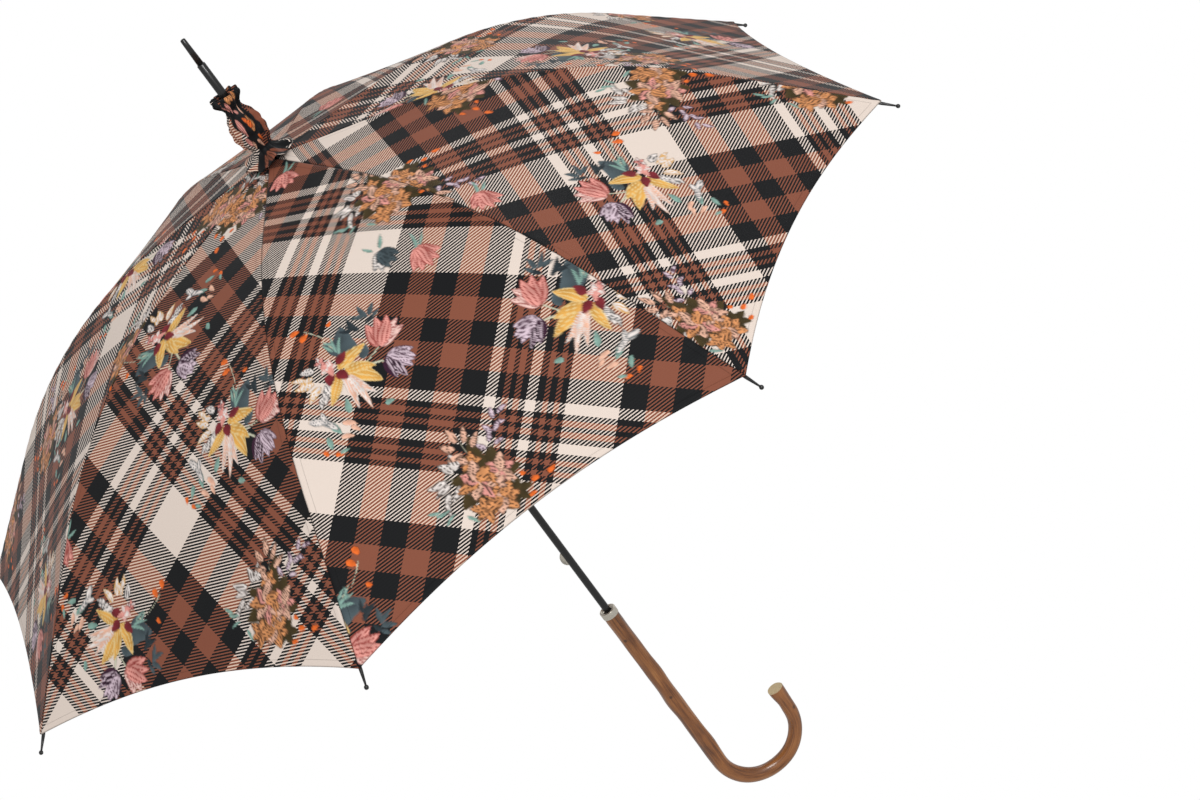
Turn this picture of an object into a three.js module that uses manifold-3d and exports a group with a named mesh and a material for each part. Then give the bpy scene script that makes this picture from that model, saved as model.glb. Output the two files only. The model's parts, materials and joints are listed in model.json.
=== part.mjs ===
// Stick umbrella with eight curved ribs, shown open.
// Millimetres. +Z runs up the shaft to the ferrule, and the crook of the handle opens towards +X.
// The origin is the middle of the grip, on the shaft's axis. Heights in this file are measured from
// the crown, where the canopy's middle meets the shaft, and the last lines raise the whole to place.

import * as THREE from 'three';
import { mergeVertices } from 'three/addons/utils/BufferGeometryUtils.js';
import Module from 'manifold-3d';

const wasm = await Module();
wasm.setup();

// ---------- driving dimensions ----------

const GAP = 0.3; // clearance between pieces that only touch

const RIB_COUNT = 8;
const CANOPY_RADIUS = 500; // shaft axis to the fabric's corners
const CROWN_SLOPE = THREE.MathUtils.degToRad(8); // the rib leaves the crown this far below level
const EDGE_SLOPE = THREE.MathUtils.degToRad(41); // and ends this steep
const CROWN_RUN = 120; // straight inner stretch of a rib
const BEND_RADIUS = 497; // the arc between its straight ends
const RIB_HEIGHT = 2.8;
const RIB_WIDTH = 2.0;
const FORK_RUN = 238; // crown pivot to the stretcher's fork, along the rib

const FABRIC_RISE = 2.7; // rib centre line to the outside of the fabric
const FABRIC_THICKNESS = 0.4;
const FABRIC_START = 13; // radius of the hole at the crown
const HEM_HOLLOW = 22; // how far the hem curves in, midway between two corners

const PIVOT_RADIUS = 7.5; // both wire rings
const PIVOT_Z = -7.2; // crown pivots below the crown
const EYE_RADIUS = 1.7; // rounded end of a rib or stretcher
const WIRE_RADIUS = 0.5;
const RIVET_RADIUS = 0.7;
const FORK_DROP = 4.3; // fork pivot below the rib's centre line
const FORK_CHEEK = 0.8; // each side of the fork
const FOLD_ANGLE = THREE.MathUtils.degToRad(63.5); // how far the ribs swing down

const SHAFT_RADIUS = 3.75;
const SHAFT_WALL = 0.8;
const SHAFT_TOP = -2;
const SHAFT_BOTTOM = -604;

const NOTCH_RADIUS = 9.8;
const NOTCH_HALF = 3.6; // half the height of a slotted disc
const RUNNER_RADIUS = 5.6;
const RUNNER_LENGTH = 60; // below its pivots
const RUNNER_FLANGE = 7.6;
const WINDOW_DROP = 44; // runner pivots to the middle of the catch window

const CATCH_LENGTH = 18;
const CATCH_PROUD = 4.3; // how far it stands out of the shaft
const CATCH_THICKNESS = 1.0;
const CATCH_ROOT = 1.7; // its back edge, from the shaft's axis

const FERRULE_PROUD = 0.25; // the ferrule's sleeve stands this far out from the shaft
const FERRULE_STEP = 103; // where the sleeve ends and the spike begins
const FERRULE_TOP = 130.4;
const SPIKE_RADIUS = 3.1;
const SPIGOT_LENGTH = 24;

const ROSETTE_TOP = 69;
const ROSETTE_BULGE = 16.5;
const ROSETTE_SKIRT = 26;

const CROWN_HEIGHT = 700; // crown above the middle of the grip
const HANDLE_TOP = -586;
const HANDLE_RADIUS = 8;
const KNOT_SPREAD = 15; // how far along the stick a knot swells it
const CROOK_LEVEL = -805; // where the shank ends and the crook begins
const CROOK_RADIUS = 44.8;
const CROOK_END = 29.5; // straight end of the crook
const COLLAR_RADIUS = 8.7;
const COLLAR_WALL = 0.9;
const COLLAR_LENGTH = 7.5;
const TENON_LENGTH = 5;

const TIP_LENGTH = 27;
const TIP_OVERHANG = 16; // past the fabric's corner
const TIP_RADIUS = 1.6;
const TIP_BALL = 2.1;

const STRAP_WIDTH = 14;
const STRAP_THICKNESS = 0.8;
const STRAP_START = 340; // along a rib from its pivot
const STRAP_END = 470;
const STRAP_GORE = 3; // the panel that the strap is sewn to, along its middle
const SNAP_RADIUS = 5;

const SIDES = 28; // round pieces
const SMALL_SIDES = 12; // pins and eyes
const BEND_STEPS = 8; // facets of a rib's bend

// ---------- derived places ----------

const firstRibAzimuth = Math.PI / RIB_COUNT; // ribs stand either side of the crook's plane
const ribStep = (2 * Math.PI) / RIB_COUNT;
const straightEndRadius =
  PIVOT_RADIUS + CROWN_RUN * Math.cos(CROWN_SLOPE)
  + BEND_RADIUS * (Math.sin(EDGE_SLOPE) - Math.sin(CROWN_SLOPE));
const bendLength = BEND_RADIUS * (EDGE_SLOPE - CROWN_SLOPE);
const edgeRun =
  (CANOPY_RADIUS - FABRIC_RISE * Math.sin(EDGE_SLOPE) - straightEndRadius) / Math.cos(EDGE_SLOPE);
const ribLength = CROWN_RUN + bendLength + edgeRun;

// A point beside the rib's centre line, in the rib's own plane: x outwards, y up.
// run is the distance along the rib from its pivot, and rise is square to the rib.
function besideRib(run, rise) {
  let slope = CROWN_SLOPE;
  let x = PIVOT_RADIUS + Math.min(run, CROWN_RUN) * Math.cos(CROWN_SLOPE);
  let y = PIVOT_Z - Math.min(run, CROWN_RUN) * Math.sin(CROWN_SLOPE);
  if (run > CROWN_RUN) {
    slope = CROWN_SLOPE + Math.min(run - CROWN_RUN, bendLength) / BEND_RADIUS;
    x += BEND_RADIUS * (Math.sin(slope) - Math.sin(CROWN_SLOPE));
    y -= BEND_RADIUS * (Math.cos(CROWN_SLOPE) - Math.cos(slope));
  }
  const straight = Math.max(run - CROWN_RUN - bendLength, 0);
  x += straight * Math.cos(slope);
  y -= straight * Math.sin(slope);
  return new THREE.Vector2(x + rise * Math.sin(slope), y + rise * Math.cos(slope));
}

// Where the rib's curve is divided: its straight ends need no steps between.
function stations(start, end) {
  const runs = [start];
  for (let i = 0; i <= BEND_STEPS; i += 1) {
    runs.push(CROWN_RUN + (bendLength * i) / BEND_STEPS);
  }
  runs.push(end);
  return runs;
}

// The run at which the fabric over the rib is at a given distance from the shaft.
function runAtRadius(radius) {
  let low = -PIVOT_RADIUS;
  let high = ribLength;
  for (let i = 0; i < 40; i += 1) {
    const middle = (low + high) / 2;
    if (besideRib(middle, FABRIC_RISE).x < radius) low = middle;
    else high = middle;
  }
  return low;
}

// Crown pivot, fork and runner pivot make a triangle with two equal sides, so the stretcher turns
// exactly twice as far as its rib and the runner slides straight along the shaft.
const crownPivot = new THREE.Vector2(PIVOT_RADIUS, PIVOT_Z);
const forkPivot = besideRib(FORK_RUN, -FORK_DROP);
const linkLength = forkPivot.distanceTo(crownPivot);
const openAngle = Math.atan2(crownPivot.y - forkPivot.y, forkPivot.x - crownPivot.x);
const runnerZ = PIVOT_Z - 2 * linkLength * Math.sin(openAngle);
const closedRunnerZ = PIVOT_Z - 2 * linkLength * Math.sin(openAngle + FOLD_ANGLE);
const runnerPivot = new THREE.Vector2(PIVOT_RADIUS, runnerZ);
const topCatchZ = runnerZ - WINDOW_DROP;
const bottomCatchZ = closedRunnerZ - WINDOW_DROP;
const shaftBore = SHAFT_RADIUS - SHAFT_WALL;
const ferruleRadius = SHAFT_RADIUS + FERRULE_PROUD;
const slideRadius = SHAFT_RADIUS + GAP;

// ---------- solids ----------

function solidFrom(geometry) {
  const bare = geometry.index ? geometry.clone() : geometry;
  bare.deleteAttribute('normal');
  bare.deleteAttribute('uv');
  const merged = mergeVertices(bare, 1e-4);
  const mesh = new wasm.Mesh({
    numProp: 3,
    vertProperties: new Float32Array(merged.attributes.position.array),
    triVerts: new Uint32Array(merged.index.array),
  });
  return new wasm.Manifold(mesh);
}

function geometryFrom(solid) {
  const mesh = solid.getMesh();
  const geometry = new THREE.BufferGeometry();
  geometry.setAttribute('position', new THREE.Float32BufferAttribute(mesh.vertProperties, 3));
  geometry.setIndex(new THREE.Uint32BufferAttribute(mesh.triVerts, 1));
  return geometry;
}

// A round solid about Z from [radius, z] pairs that start and end on the axis, or close on themselves.
function turned(pairs, sides = SIDES) {
  const points = pairs.map(([radius, z]) => new THREE.Vector2(radius, z));
  const geometry = new THREE.LatheGeometry(points, sides);
  geometry.rotateX(Math.PI / 2);
  return solidFrom(geometry);
}

// A closed tube about Z.
function sleeve(inner, outer, low, high, sides = SIDES) {
  return turned([[inner, low], [outer, low], [outer, high], [inner, high], [inner, low]], sides);
}

function box(lowCorner, highCorner) {
  const low = new THREE.Vector3(...lowCorner);
  const high = new THREE.Vector3(...highCorner);
  const size = high.clone().sub(low);
  const geometry = new THREE.BoxGeometry(size.x, size.y, size.z);
  const centre = low.add(high).multiplyScalar(0.5);
  geometry.translate(centre.x, centre.y, centre.z);
  return solidFrom(geometry);
}

// A pin along Y at (x, z).
function crossPin(x, z, radius, halfLength, sides = SMALL_SIDES) {
  const geometry = new THREE.CylinderGeometry(radius, radius, 2 * halfLength, sides);
  geometry.translate(x, 0, z);
  return solidFrom(geometry);
}

function wireRing(z) {
  const wireSides = 5;
  const ringSides = 32;
  const geometry = new THREE.TorusGeometry(PIVOT_RADIUS, WIRE_RADIUS, wireSides, ringSides);
  geometry.translate(0, 0, z);
  return solidFrom(geometry);
}

// A flat plate in the XZ plane, centred on y = 0, from an outline of Vector2 points.
function plate(outline, thickness) {
  const settings = { depth: thickness, bevelEnabled: false };
  const geometry = new THREE.ExtrudeGeometry(new THREE.Shape(outline), settings);
  geometry.translate(0, 0, -thickness / 2);
  geometry.rotateX(Math.PI / 2);
  return solidFrom(geometry);
}

// Points round a centre, from one angle to another.
function arcPoints(centre, radius, from, to, count) {
  const points = [];
  for (let i = 0; i <= count; i += 1) {
    const angle = from + ((to - from) * i) / count;
    points.push(new THREE.Vector2(
      centre.x + radius * Math.cos(angle),
      centre.y + radius * Math.sin(angle),
    ));
  }
  return points;
}

// A solid between two surfaces over a grid: surface(i, j, side) gives a Vector3, with side 0 or 1.
function shellSolid(surface, columns, rows) {
  const positions = [];
  const indices = [];
  const number = (i, j, side) => (side * (columns + 1) + i) * (rows + 1) + j;
  for (let side = 0; side < 2; side += 1) {
    for (let i = 0; i <= columns; i += 1) {
      for (let j = 0; j <= rows; j += 1) {
        positions.push(...surface(i, j, side).toArray());
      }
    }
  }
  const quad = (a, b, c, d) => indices.push(a, b, c, a, c, d);
  for (let i = 0; i < columns; i += 1) {
    for (let j = 0; j < rows; j += 1) {
      quad(number(i, j, 1), number(i + 1, j, 1), number(i + 1, j + 1, 1), number(i, j + 1, 1));
      quad(number(i, j, 0), number(i, j + 1, 0), number(i + 1, j + 1, 0), number(i + 1, j, 0));
    }
  }
  for (let i = 0; i < columns; i += 1) {
    quad(number(i, 0, 0), number(i + 1, 0, 0), number(i + 1, 0, 1), number(i, 0, 1));
    quad(number(i, rows, 1), number(i + 1, rows, 1), number(i + 1, rows, 0), number(i, rows, 0));
  }
  for (let j = 0; j < rows; j += 1) {
    quad(number(0, j, 1), number(0, j + 1, 1), number(0, j + 1, 0), number(0, j, 0));
    quad(number(columns, j, 0), number(columns, j + 1, 0),
      number(columns, j + 1, 1), number(columns, j, 1));
  }
  const geometry = new THREE.BufferGeometry();
  geometry.setAttribute('position', new THREE.Float32BufferAttribute(positions, 3));
  geometry.setIndex(indices);
  return solidFrom(geometry);
}

// ---------- shaft and ferrule ----------

function catchSlot(z) {
  const reach = CATCH_LENGTH / 2 + GAP;
  const halfWidth = CATCH_THICKNESS / 2 + GAP;
  return box([-2 * SHAFT_RADIUS, -halfWidth, z - reach], [0, halfWidth, z + reach]);
}

const stopPinZ = runnerZ + NOTCH_HALF + GAP + RIVET_RADIUS;

function makeShaft() {
  const tube = sleeve(shaftBore, SHAFT_RADIUS, SHAFT_BOTTOM, SHAFT_TOP);
  const pinHole = crossPin(0, stopPinZ, RIVET_RADIUS + GAP, 2 * SHAFT_RADIUS);
  return tube.subtract(catchSlot(topCatchZ)).subtract(catchSlot(bottomCatchZ)).subtract(pinHole);
}

function makeFerrule() {
  const shoulder = SHAFT_TOP + GAP;
  const spigot = shaftBore - GAP;
  const socket = SPIKE_RADIUS / 2 + GAP;
  const socketDepth = 10;
  const chamfer = 0.8;
  return turned([
    [0, shoulder - SPIGOT_LENGTH],
    [spigot, shoulder - SPIGOT_LENGTH],
    [spigot, shoulder],
    [ferruleRadius, shoulder],
    [ferruleRadius, FERRULE_STEP - chamfer],
    [ferruleRadius - chamfer, FERRULE_STEP],
    [socket, FERRULE_STEP],
    [socket, FERRULE_STEP - socketDepth],
    [0, FERRULE_STEP - socketDepth],
  ]);
}

function makeFerruleTip() {
  const pegLength = 9;
  const seat = FERRULE_STEP + GAP;
  const chamfer = 0.7;
  const endRadius = SPIKE_RADIUS - 0.6;
  return turned([
    [0, seat - pegLength],
    [SPIKE_RADIUS / 2, seat - pegLength],
    [SPIKE_RADIUS / 2, seat],
    [SPIKE_RADIUS, seat],
    [endRadius, FERRULE_TOP - chamfer],
    [endRadius - chamfer, FERRULE_TOP],
    [0, FERRULE_TOP],
  ]);
}

// ---------- slotted discs, wires and runner ----------

// A disc with a slot for each rib or stretcher, and a groove round it for the wire.
function slottedDisc(z) {
  const slotWidth = RIB_WIDTH + 2 * GAP;
  const slotFloor = PIVOT_RADIUS - EYE_RADIUS - 2 * GAP;
  const grooveHalf = WIRE_RADIUS + GAP;
  const reach = 2 * NOTCH_RADIUS;
  let disc = sleeve(slideRadius, NOTCH_RADIUS, z - NOTCH_HALF, z + NOTCH_HALF);
  const groove = sleeve(PIVOT_RADIUS - grooveHalf, reach, z - grooveHalf, z + grooveHalf);
  disc = disc.subtract(groove);
  const low = [slotFloor, -slotWidth / 2, z - 2 * NOTCH_HALF];
  const high = [reach, slotWidth / 2, z + 2 * NOTCH_HALF];
  for (let i = 0; i < RIB_COUNT; i += 1) {
    const azimuth = firstRibAzimuth + i * ribStep;
    disc = disc.subtract(box(low, high).rotate([0, 0, THREE.MathUtils.radToDeg(azimuth)]));
  }
  return disc;
}

function makeRunner() {
  const low = runnerZ - RUNNER_LENGTH;
  const flangeHeight = 5;
  const windowHalf = CATCH_LENGTH / 2 + 1.5;
  const windowHalfWidth = CATCH_THICKNESS / 2 + 2 * GAP;
  const tube = sleeve(slideRadius, RUNNER_RADIUS, low, runnerZ - NOTCH_HALF + GAP);
  const flange = sleeve(slideRadius, RUNNER_FLANGE, low, low + flangeHeight);
  const middle = runnerZ - WINDOW_DROP;
  const window = box(
    [-2 * RUNNER_FLANGE, -windowHalfWidth, middle - windowHalf],
    [0, windowHalfWidth, middle + windowHalf],
  );
  return slottedDisc(runnerZ).add(tube).add(flange).subtract(window);
}

// A thin leaf that bulges out of its slot towards -X.
function makeCatch(z) {
  const rise = SHAFT_RADIUS + CATCH_PROUD - CATCH_ROOT;
  const half = CATCH_LENGTH / 2;
  const radius = (half * half + rise * rise) / (2 * rise);
  const sweep = Math.asin(half / radius);
  const centre = new THREE.Vector2(-CATCH_ROOT - rise + radius, z);
  const outline = arcPoints(centre, radius, Math.PI - sweep, Math.PI + sweep, 10);
  return plate(outline, CATCH_THICKNESS);
}

// ---------- ribs and stretchers ----------

function makeRib() {
  const half = RIB_HEIGHT / 2;
  const start = Math.sqrt(EYE_RADIUS ** 2 - half ** 2);
  const lugHalf = EYE_RADIUS + GAP;
  const runs = stations(start, ribLength - (TIP_LENGTH - TIP_OVERHANG) - GAP);
  const upper = runs.map((run) => besideRib(run, half));
  const lower = runs.map((run) => besideRib(run, -half));
  const bar = plate([...upper, ...lower.reverse()], RIB_WIDTH);
  const eye = crossPin(PIVOT_RADIUS, PIVOT_Z, EYE_RADIUS, RIB_WIDTH / 2);
  const eyeHole = crossPin(PIVOT_RADIUS, PIVOT_Z, WIRE_RADIUS + GAP, RIB_WIDTH, 8);
  const lugPlate = plate([
    besideRib(FORK_RUN - lugHalf, 0),
    besideRib(FORK_RUN + lugHalf, 0),
    besideRib(FORK_RUN + lugHalf, -FORK_DROP),
    besideRib(FORK_RUN - lugHalf, -FORK_DROP),
  ], RIB_WIDTH);
  const lugEnd = crossPin(forkPivot.x, forkPivot.y, lugHalf, RIB_WIDTH / 2);
  const lugHole = crossPin(forkPivot.x, forkPivot.y, RIVET_RADIUS + GAP, RIB_WIDTH, 8);
  return bar.add(eye).add(lugPlate).add(lugEnd).subtract(eyeHole).subtract(lugHole);
}

const forkInner = RIB_WIDTH / 2 + GAP;
const forkOuter = forkInner + FORK_CHEEK;

function makeRivet() {
  const head = 0.6;
  const headRadius = 2 * RIVET_RADIUS;
  const reach = forkOuter + GAP;
  const geometry = new THREE.LatheGeometry([
    new THREE.Vector2(0, -reach - head),
    new THREE.Vector2(headRadius, -reach - head / 2),
    new THREE.Vector2(headRadius, -reach),
    new THREE.Vector2(RIVET_RADIUS, -reach),
    new THREE.Vector2(RIVET_RADIUS, reach),
    new THREE.Vector2(headRadius, reach),
    new THREE.Vector2(headRadius, reach + head / 2),
    new THREE.Vector2(0, reach + head),
  ], 8);
  geometry.translate(forkPivot.x, 0, forkPivot.y);
  return solidFrom(geometry);
}

function makeStretcher() {
  const half = RIB_HEIGHT / 2;
  const along = forkPivot.clone().sub(runnerPivot).normalize();
  const square = new THREE.Vector2(-along.y, along.x);
  const at = (run, rise) => runnerPivot.clone().addScaledVector(along, run).addScaledVector(square, rise);
  const forkLength = 14;
  const slotLength = 8;
  const eye = crossPin(PIVOT_RADIUS, runnerZ, EYE_RADIUS, RIB_WIDTH / 2);
  const eyeHole = crossPin(PIVOT_RADIUS, runnerZ, WIRE_RADIUS + GAP, RIB_WIDTH, 8);
  const barEnd = linkLength - forkLength / 2;
  const bar = plate([at(1, half), at(1, -half), at(barEnd, -half), at(barEnd, half)], RIB_WIDTH);
  const root = linkLength - forkLength;
  const block = plate(
    [at(root, half), at(root, -half), at(linkLength, -half), at(linkLength, half)],
    2 * forkOuter,
  );
  const blockEnd = crossPin(forkPivot.x, forkPivot.y, EYE_RADIUS, forkOuter);
  const slot = plate([
    at(linkLength - slotLength, 4 * half),
    at(linkLength - slotLength, -4 * half),
    at(linkLength + slotLength, -4 * half),
    at(linkLength + slotLength, 4 * half),
  ], 2 * forkInner);
  const hole = crossPin(forkPivot.x, forkPivot.y, RIVET_RADIUS + GAP, 2 * forkOuter, 8);
  return bar.add(eye).add(block).add(blockEnd).subtract(slot).subtract(hole).subtract(eyeHole);
}

// A tapering socket with a small ball on its end, in line with the rib's straight end.
function makeRibTip() {
  const ballRun = TIP_LENGTH - TIP_BALL;
  const neck = 0.9;
  const points = [new THREE.Vector2(0, 0), new THREE.Vector2(TIP_RADIUS, 0)];
  points.push(new THREE.Vector2(TIP_RADIUS, TIP_LENGTH - TIP_OVERHANG));
  const start = Math.asin(neck / TIP_BALL);
  const ball = arcPoints(
    new THREE.Vector2(0, ballRun), TIP_BALL, start - Math.PI / 2, Math.PI / 2, 6,
  );
  ball[ball.length - 1].x = 0;
  points.push(...ball);
  const geometry = new THREE.LatheGeometry(points, 8);
  geometry.rotateZ(-Math.PI / 2 - EDGE_SLOPE);
  geometry.rotateX(Math.PI / 2);
  return geometry;
}

// ---------- canopy ----------

// One panel, from seam to seam, taut between its ribs, with a hem that curves in.
// Its own frame has +X out along its middle, which lies closer to the shaft than its corners.
const middleShare = Math.cos(ribStep / 2);

function makeGore() {
  const columns = 6;
  const start = runAtRadius(FABRIC_START);
  const rows = stations(start, ribLength).length - 1;
  return shellSolid((i, j, side) => {
    const across = (2 * j) / columns - 1;
    const run = stations(start, ribLength - HEM_HOLLOW * (1 - across ** 2))[i];
    const profile = besideRib(run, FABRIC_RISE - FABRIC_THICKNESS * (1 - side));
    const halfWidth = profile.x * Math.sin(ribStep / 2) - GAP;
    return new THREE.Vector3(profile.x * middleShare, across * halfWidth, profile.y);
  }, rows, columns);
}

function makeRosette() {
  const inner = ferruleRadius + GAP;
  const skirtGap = 1.2;
  const underSkirt = besideRib(runAtRadius(ROSETTE_SKIRT), FABRIC_RISE).y + skirtGap;
  const underNeck = besideRib(runAtRadius(FABRIC_START), FABRIC_RISE).y + skirtGap;
  const overNotch = PIVOT_Z + NOTCH_HALF + GAP;
  return turned([
    [inner, overNotch],
    [NOTCH_RADIUS + GAP, overNotch],
    [FABRIC_START, underNeck],
    [ROSETTE_SKIRT, underSkirt],
    [ROSETTE_SKIRT, underSkirt + 2],
    [0.6 * ROSETTE_SKIRT, underSkirt + 7],
    [0.62 * ROSETTE_BULGE, underSkirt + 13],
    [0.9 * ROSETTE_BULGE, underSkirt + 20],
    [ROSETTE_BULGE, underSkirt + 30],
    [0.9 * ROSETTE_BULGE, underSkirt + 42],
    [0.5 * ROSETTE_BULGE, ROSETTE_TOP - 15],
    [0.45 * ROSETTE_BULGE, ROSETTE_TOP - 11],
    [0.75 * ROSETTE_BULGE, ROSETTE_TOP],
    [inner, ROSETTE_TOP - 3],
    [inner, overNotch],
  ], 18);
}

function makeStrap() {
  const rise = FABRIC_RISE + 3 * GAP;
  const steps = 8;
  return shellSolid((i, j, side) => {
    const run = STRAP_START + ((STRAP_END - STRAP_START) * i) / steps;
    const profile = besideRib(run, rise + side * STRAP_THICKNESS);
    return new THREE.Vector3(profile.x * middleShare, (j - 0.5) * STRAP_WIDTH, profile.y);
  }, steps, 1);
}

function makeSnap() {
  const dome = 1.6;
  const geometry = new THREE.LatheGeometry([
    new THREE.Vector2(0, 0),
    new THREE.Vector2(SNAP_RADIUS, 0),
    new THREE.Vector2(SNAP_RADIUS, dome / 2),
    new THREE.Vector2(0.6 * SNAP_RADIUS, dome),
    new THREE.Vector2(0, dome),
  ], 20);
  geometry.rotateX(Math.PI / 2);
  geometry.rotateY(Math.atan(Math.tan(EDGE_SLOPE) / middleShare));
  const rise = FABRIC_RISE + STRAP_THICKNESS + 5 * GAP;
  const at = besideRib(STRAP_END - 1.6 * SNAP_RADIUS, rise);
  geometry.translate(at.x * middleShare, 0, at.y);
  return geometry;
}

// ---------- handle ----------

// The stick's centre line, in the XZ plane, with its radius at each place.
const shankLength = HANDLE_TOP - CROOK_LEVEL;
const crookLength = Math.PI * CROOK_RADIUS;
const stickLength = shankLength + crookLength + CROOK_END;

function stickCentre(run) {
  if (run < shankLength) return new THREE.Vector3(0, 0, HANDLE_TOP - run);
  const turn = Math.min((run - shankLength) / CROOK_RADIUS, Math.PI);
  const rest = Math.max(run - shankLength - crookLength, 0);
  return new THREE.Vector3(
    CROOK_RADIUS * (1 - Math.cos(turn)),
    0,
    CROOK_LEVEL - CROOK_RADIUS * Math.sin(turn) + rest,
  );
}

// The stick swells at its knots, which sit on its outer or inner side, thins out past the bend,
// and flares at its cut end. angle is 0 on the outer side of the crook and PI on the inner side.
function stickRadius(run, angle) {
  const swell = (place, spread, size) => size * Math.exp(-(((run - place) / spread) ** 2));
  const outer = ((1 + Math.cos(angle)) / 2) ** 2;
  const inner = ((1 - Math.cos(angle)) / 2) ** 2;
  const leg = swell(shankLength + 0.78 * crookLength, 2.6 * KNOT_SPREAD, -0.9);
  const shankKnot = outer * swell(129, KNOT_SPREAD, 1.2) + inner * swell(88, KNOT_SPREAD, 0.8);
  const bendKnot = inner * swell(shankLength - 28, KNOT_SPREAD, 1.4);
  const legKnot = outer * swell(shankLength + 0.66 * crookLength, KNOT_SPREAD, 0.9);
  const pinch = inner * swell(stickLength - 19, 0.6 * KNOT_SPREAD, -1.1);
  const flare = swell(stickLength, KNOT_SPREAD, 0.8);
  return HANDLE_RADIUS + leg + shankKnot + bendKnot + legKnot + pinch + flare;
}

function makeHandle() {
  const sides = 24;
  const steps = 56;
  const positions = [];
  const indices = [];
  for (let i = 0; i <= steps; i += 1) {
    const run = (stickLength * i) / steps;
    const turn = THREE.MathUtils.clamp((run - shankLength) / CROOK_RADIUS, 0, Math.PI);
    const outward = new THREE.Vector3(-Math.cos(turn), 0, -Math.sin(turn));
    const centre = stickCentre(run);
    for (let j = 0; j < sides; j += 1) {
      const angle = (2 * Math.PI * j) / sides;
      const radius = stickRadius(run, angle);
      const point = centre.clone().addScaledVector(outward, radius * Math.cos(angle));
      point.y += radius * Math.sin(angle);
      positions.push(...point.toArray());
    }
  }
  const lastRing = steps * sides;
  for (let i = 0; i < steps; i += 1) {
    for (let j = 0; j < sides; j += 1) {
      const a = i * sides + j;
      const b = i * sides + ((j + 1) % sides);
      indices.push(a, b, a + sides, b, b + sides, a + sides);
    }
  }
  for (let j = 1; j < sides - 1; j += 1) {
    indices.push(0, j + 1, j);
    indices.push(lastRing, lastRing + j, lastRing + j + 1);
  }
  const geometry = new THREE.BufferGeometry();
  geometry.setAttribute('position', new THREE.Float32BufferAttribute(positions, 3));
  geometry.setIndex(indices);
  const socketFloor = SHAFT_BOTTOM - GAP;
  const socket = sleeveCut(slideRadius, socketFloor, HANDLE_TOP + 1);
  const tenonRadius = COLLAR_RADIUS - COLLAR_WALL - GAP;
  const shoulder = sleeve(tenonRadius, 2 * HANDLE_RADIUS, HANDLE_TOP - TENON_LENGTH, HANDLE_TOP + 1);
  return solidFrom(geometry).subtract(socket).subtract(shoulder);
}

function sleeveCut(radius, low, high) {
  return turned([[0, low], [radius, low], [radius, high], [0, high]]);
}

// A cup that caps the stick, with a stepped mouth round the shaft.
function makeCollar() {
  const low = HANDLE_TOP - TENON_LENGTH + GAP;
  const high = low + COLLAR_LENGTH;
  const inner = COLLAR_RADIUS - COLLAR_WALL;
  const floor = HANDLE_TOP + GAP;
  const floorThickness = 0.8;
  const mouth = COLLAR_RADIUS - 2.2;
  return turned([
    [inner, low],
    [COLLAR_RADIUS, low],
    [COLLAR_RADIUS, high - 0.6],
    [COLLAR_RADIUS - 0.6, high],
    [mouth, high],
    [mouth, floor + floorThickness],
    [slideRadius + GAP, floor + floorThickness],
    [slideRadius + GAP, floor],
    [inner, floor],
    [inner, low],
  ]);
}

// ---------- materials ----------

function finish(color, roughness, metalness) {
  return new THREE.MeshStandardMaterial({ color, roughness, metalness });
}

const blackPaint = () => finish(0x1c1d1e, 0.35, 0.4);
const darkSteel = () => finish(0x2b2c2e, 0.4, 0.8);
const nickel = () => finish(0xd8cfbf, 0.28, 1.0);
const chestnut = () => finish(0x7c4a26, 0.4, 0.0);
const fabric = () => finish(0x6b4a40, 0.6, 0.0);

// ---------- assembly ----------

const umbrella = new THREE.Group();
umbrella.position.z = CROWN_HEIGHT;

function place(name, shape, material, parent = umbrella) {
  const geometry = shape.isBufferGeometry ? shape : geometryFrom(shape);
  const mesh = new THREE.Mesh(geometry, material);
  mesh.name = name;
  parent.add(mesh);
  return mesh;
}

place('shaft', makeShaft(), blackPaint());
place('ferrule', makeFerrule(), blackPaint());
place('ferrule_tip', makeFerruleTip(), blackPaint());
place('crown_notch', slottedDisc(PIVOT_Z), darkSteel());
place('crown_wire', wireRing(PIVOT_Z), darkSteel());
place('runner', makeRunner(), darkSteel());
place('runner_wire', wireRing(runnerZ), darkSteel());
place('top_catch', makeCatch(topCatchZ), nickel());
place('bottom_catch', makeCatch(bottomCatchZ), nickel());
place('stop_pin', crossPin(0, stopPinZ, RIVET_RADIUS, SHAFT_RADIUS + 2), darkSteel());
place('rosette', makeRosette(), fabric());
place('handle', makeHandle(), chestnut());
place('collar', makeCollar(), nickel());

const ribSolid = makeRib();
const rivetSolid = makeRivet();
const stretcherSolid = makeStretcher();
const tipStart = besideRib(ribLength - (TIP_LENGTH - TIP_OVERHANG), 0);

for (let i = 0; i < RIB_COUNT; i += 1) {
  const arm = new THREE.Group();
  arm.rotation.z = firstRibAzimuth + i * ribStep;
  umbrella.add(arm);
  place(`rib_${i + 1}`, ribSolid, darkSteel(), arm);
  place(`rivet_${i + 1}`, rivetSolid, darkSteel(), arm);
  place(`stretcher_${i + 1}`, stretcherSolid, darkSteel(), arm);
  const tip = place(`rib_tip_${i + 1}`, makeRibTip(), blackPaint(), arm);
  tip.position.set(tipStart.x, 0, tipStart.y);
  const panel = new THREE.Group();
  panel.rotation.z = firstRibAzimuth + (i + 0.5) * ribStep;
  umbrella.add(panel);
  place(`gore_${i + 1}`, makeGore(), fabric(), panel);
  if (i + 1 === STRAP_GORE) {
    place('tie_strap', makeStrap(), fabric(), panel);
    place('tie_snap', makeSnap(), nickel(), panel);
  }
}

export default umbrella;
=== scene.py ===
import json
import math

import bpy
import numpy as np
from mathutils import Matrix, Vector


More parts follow.
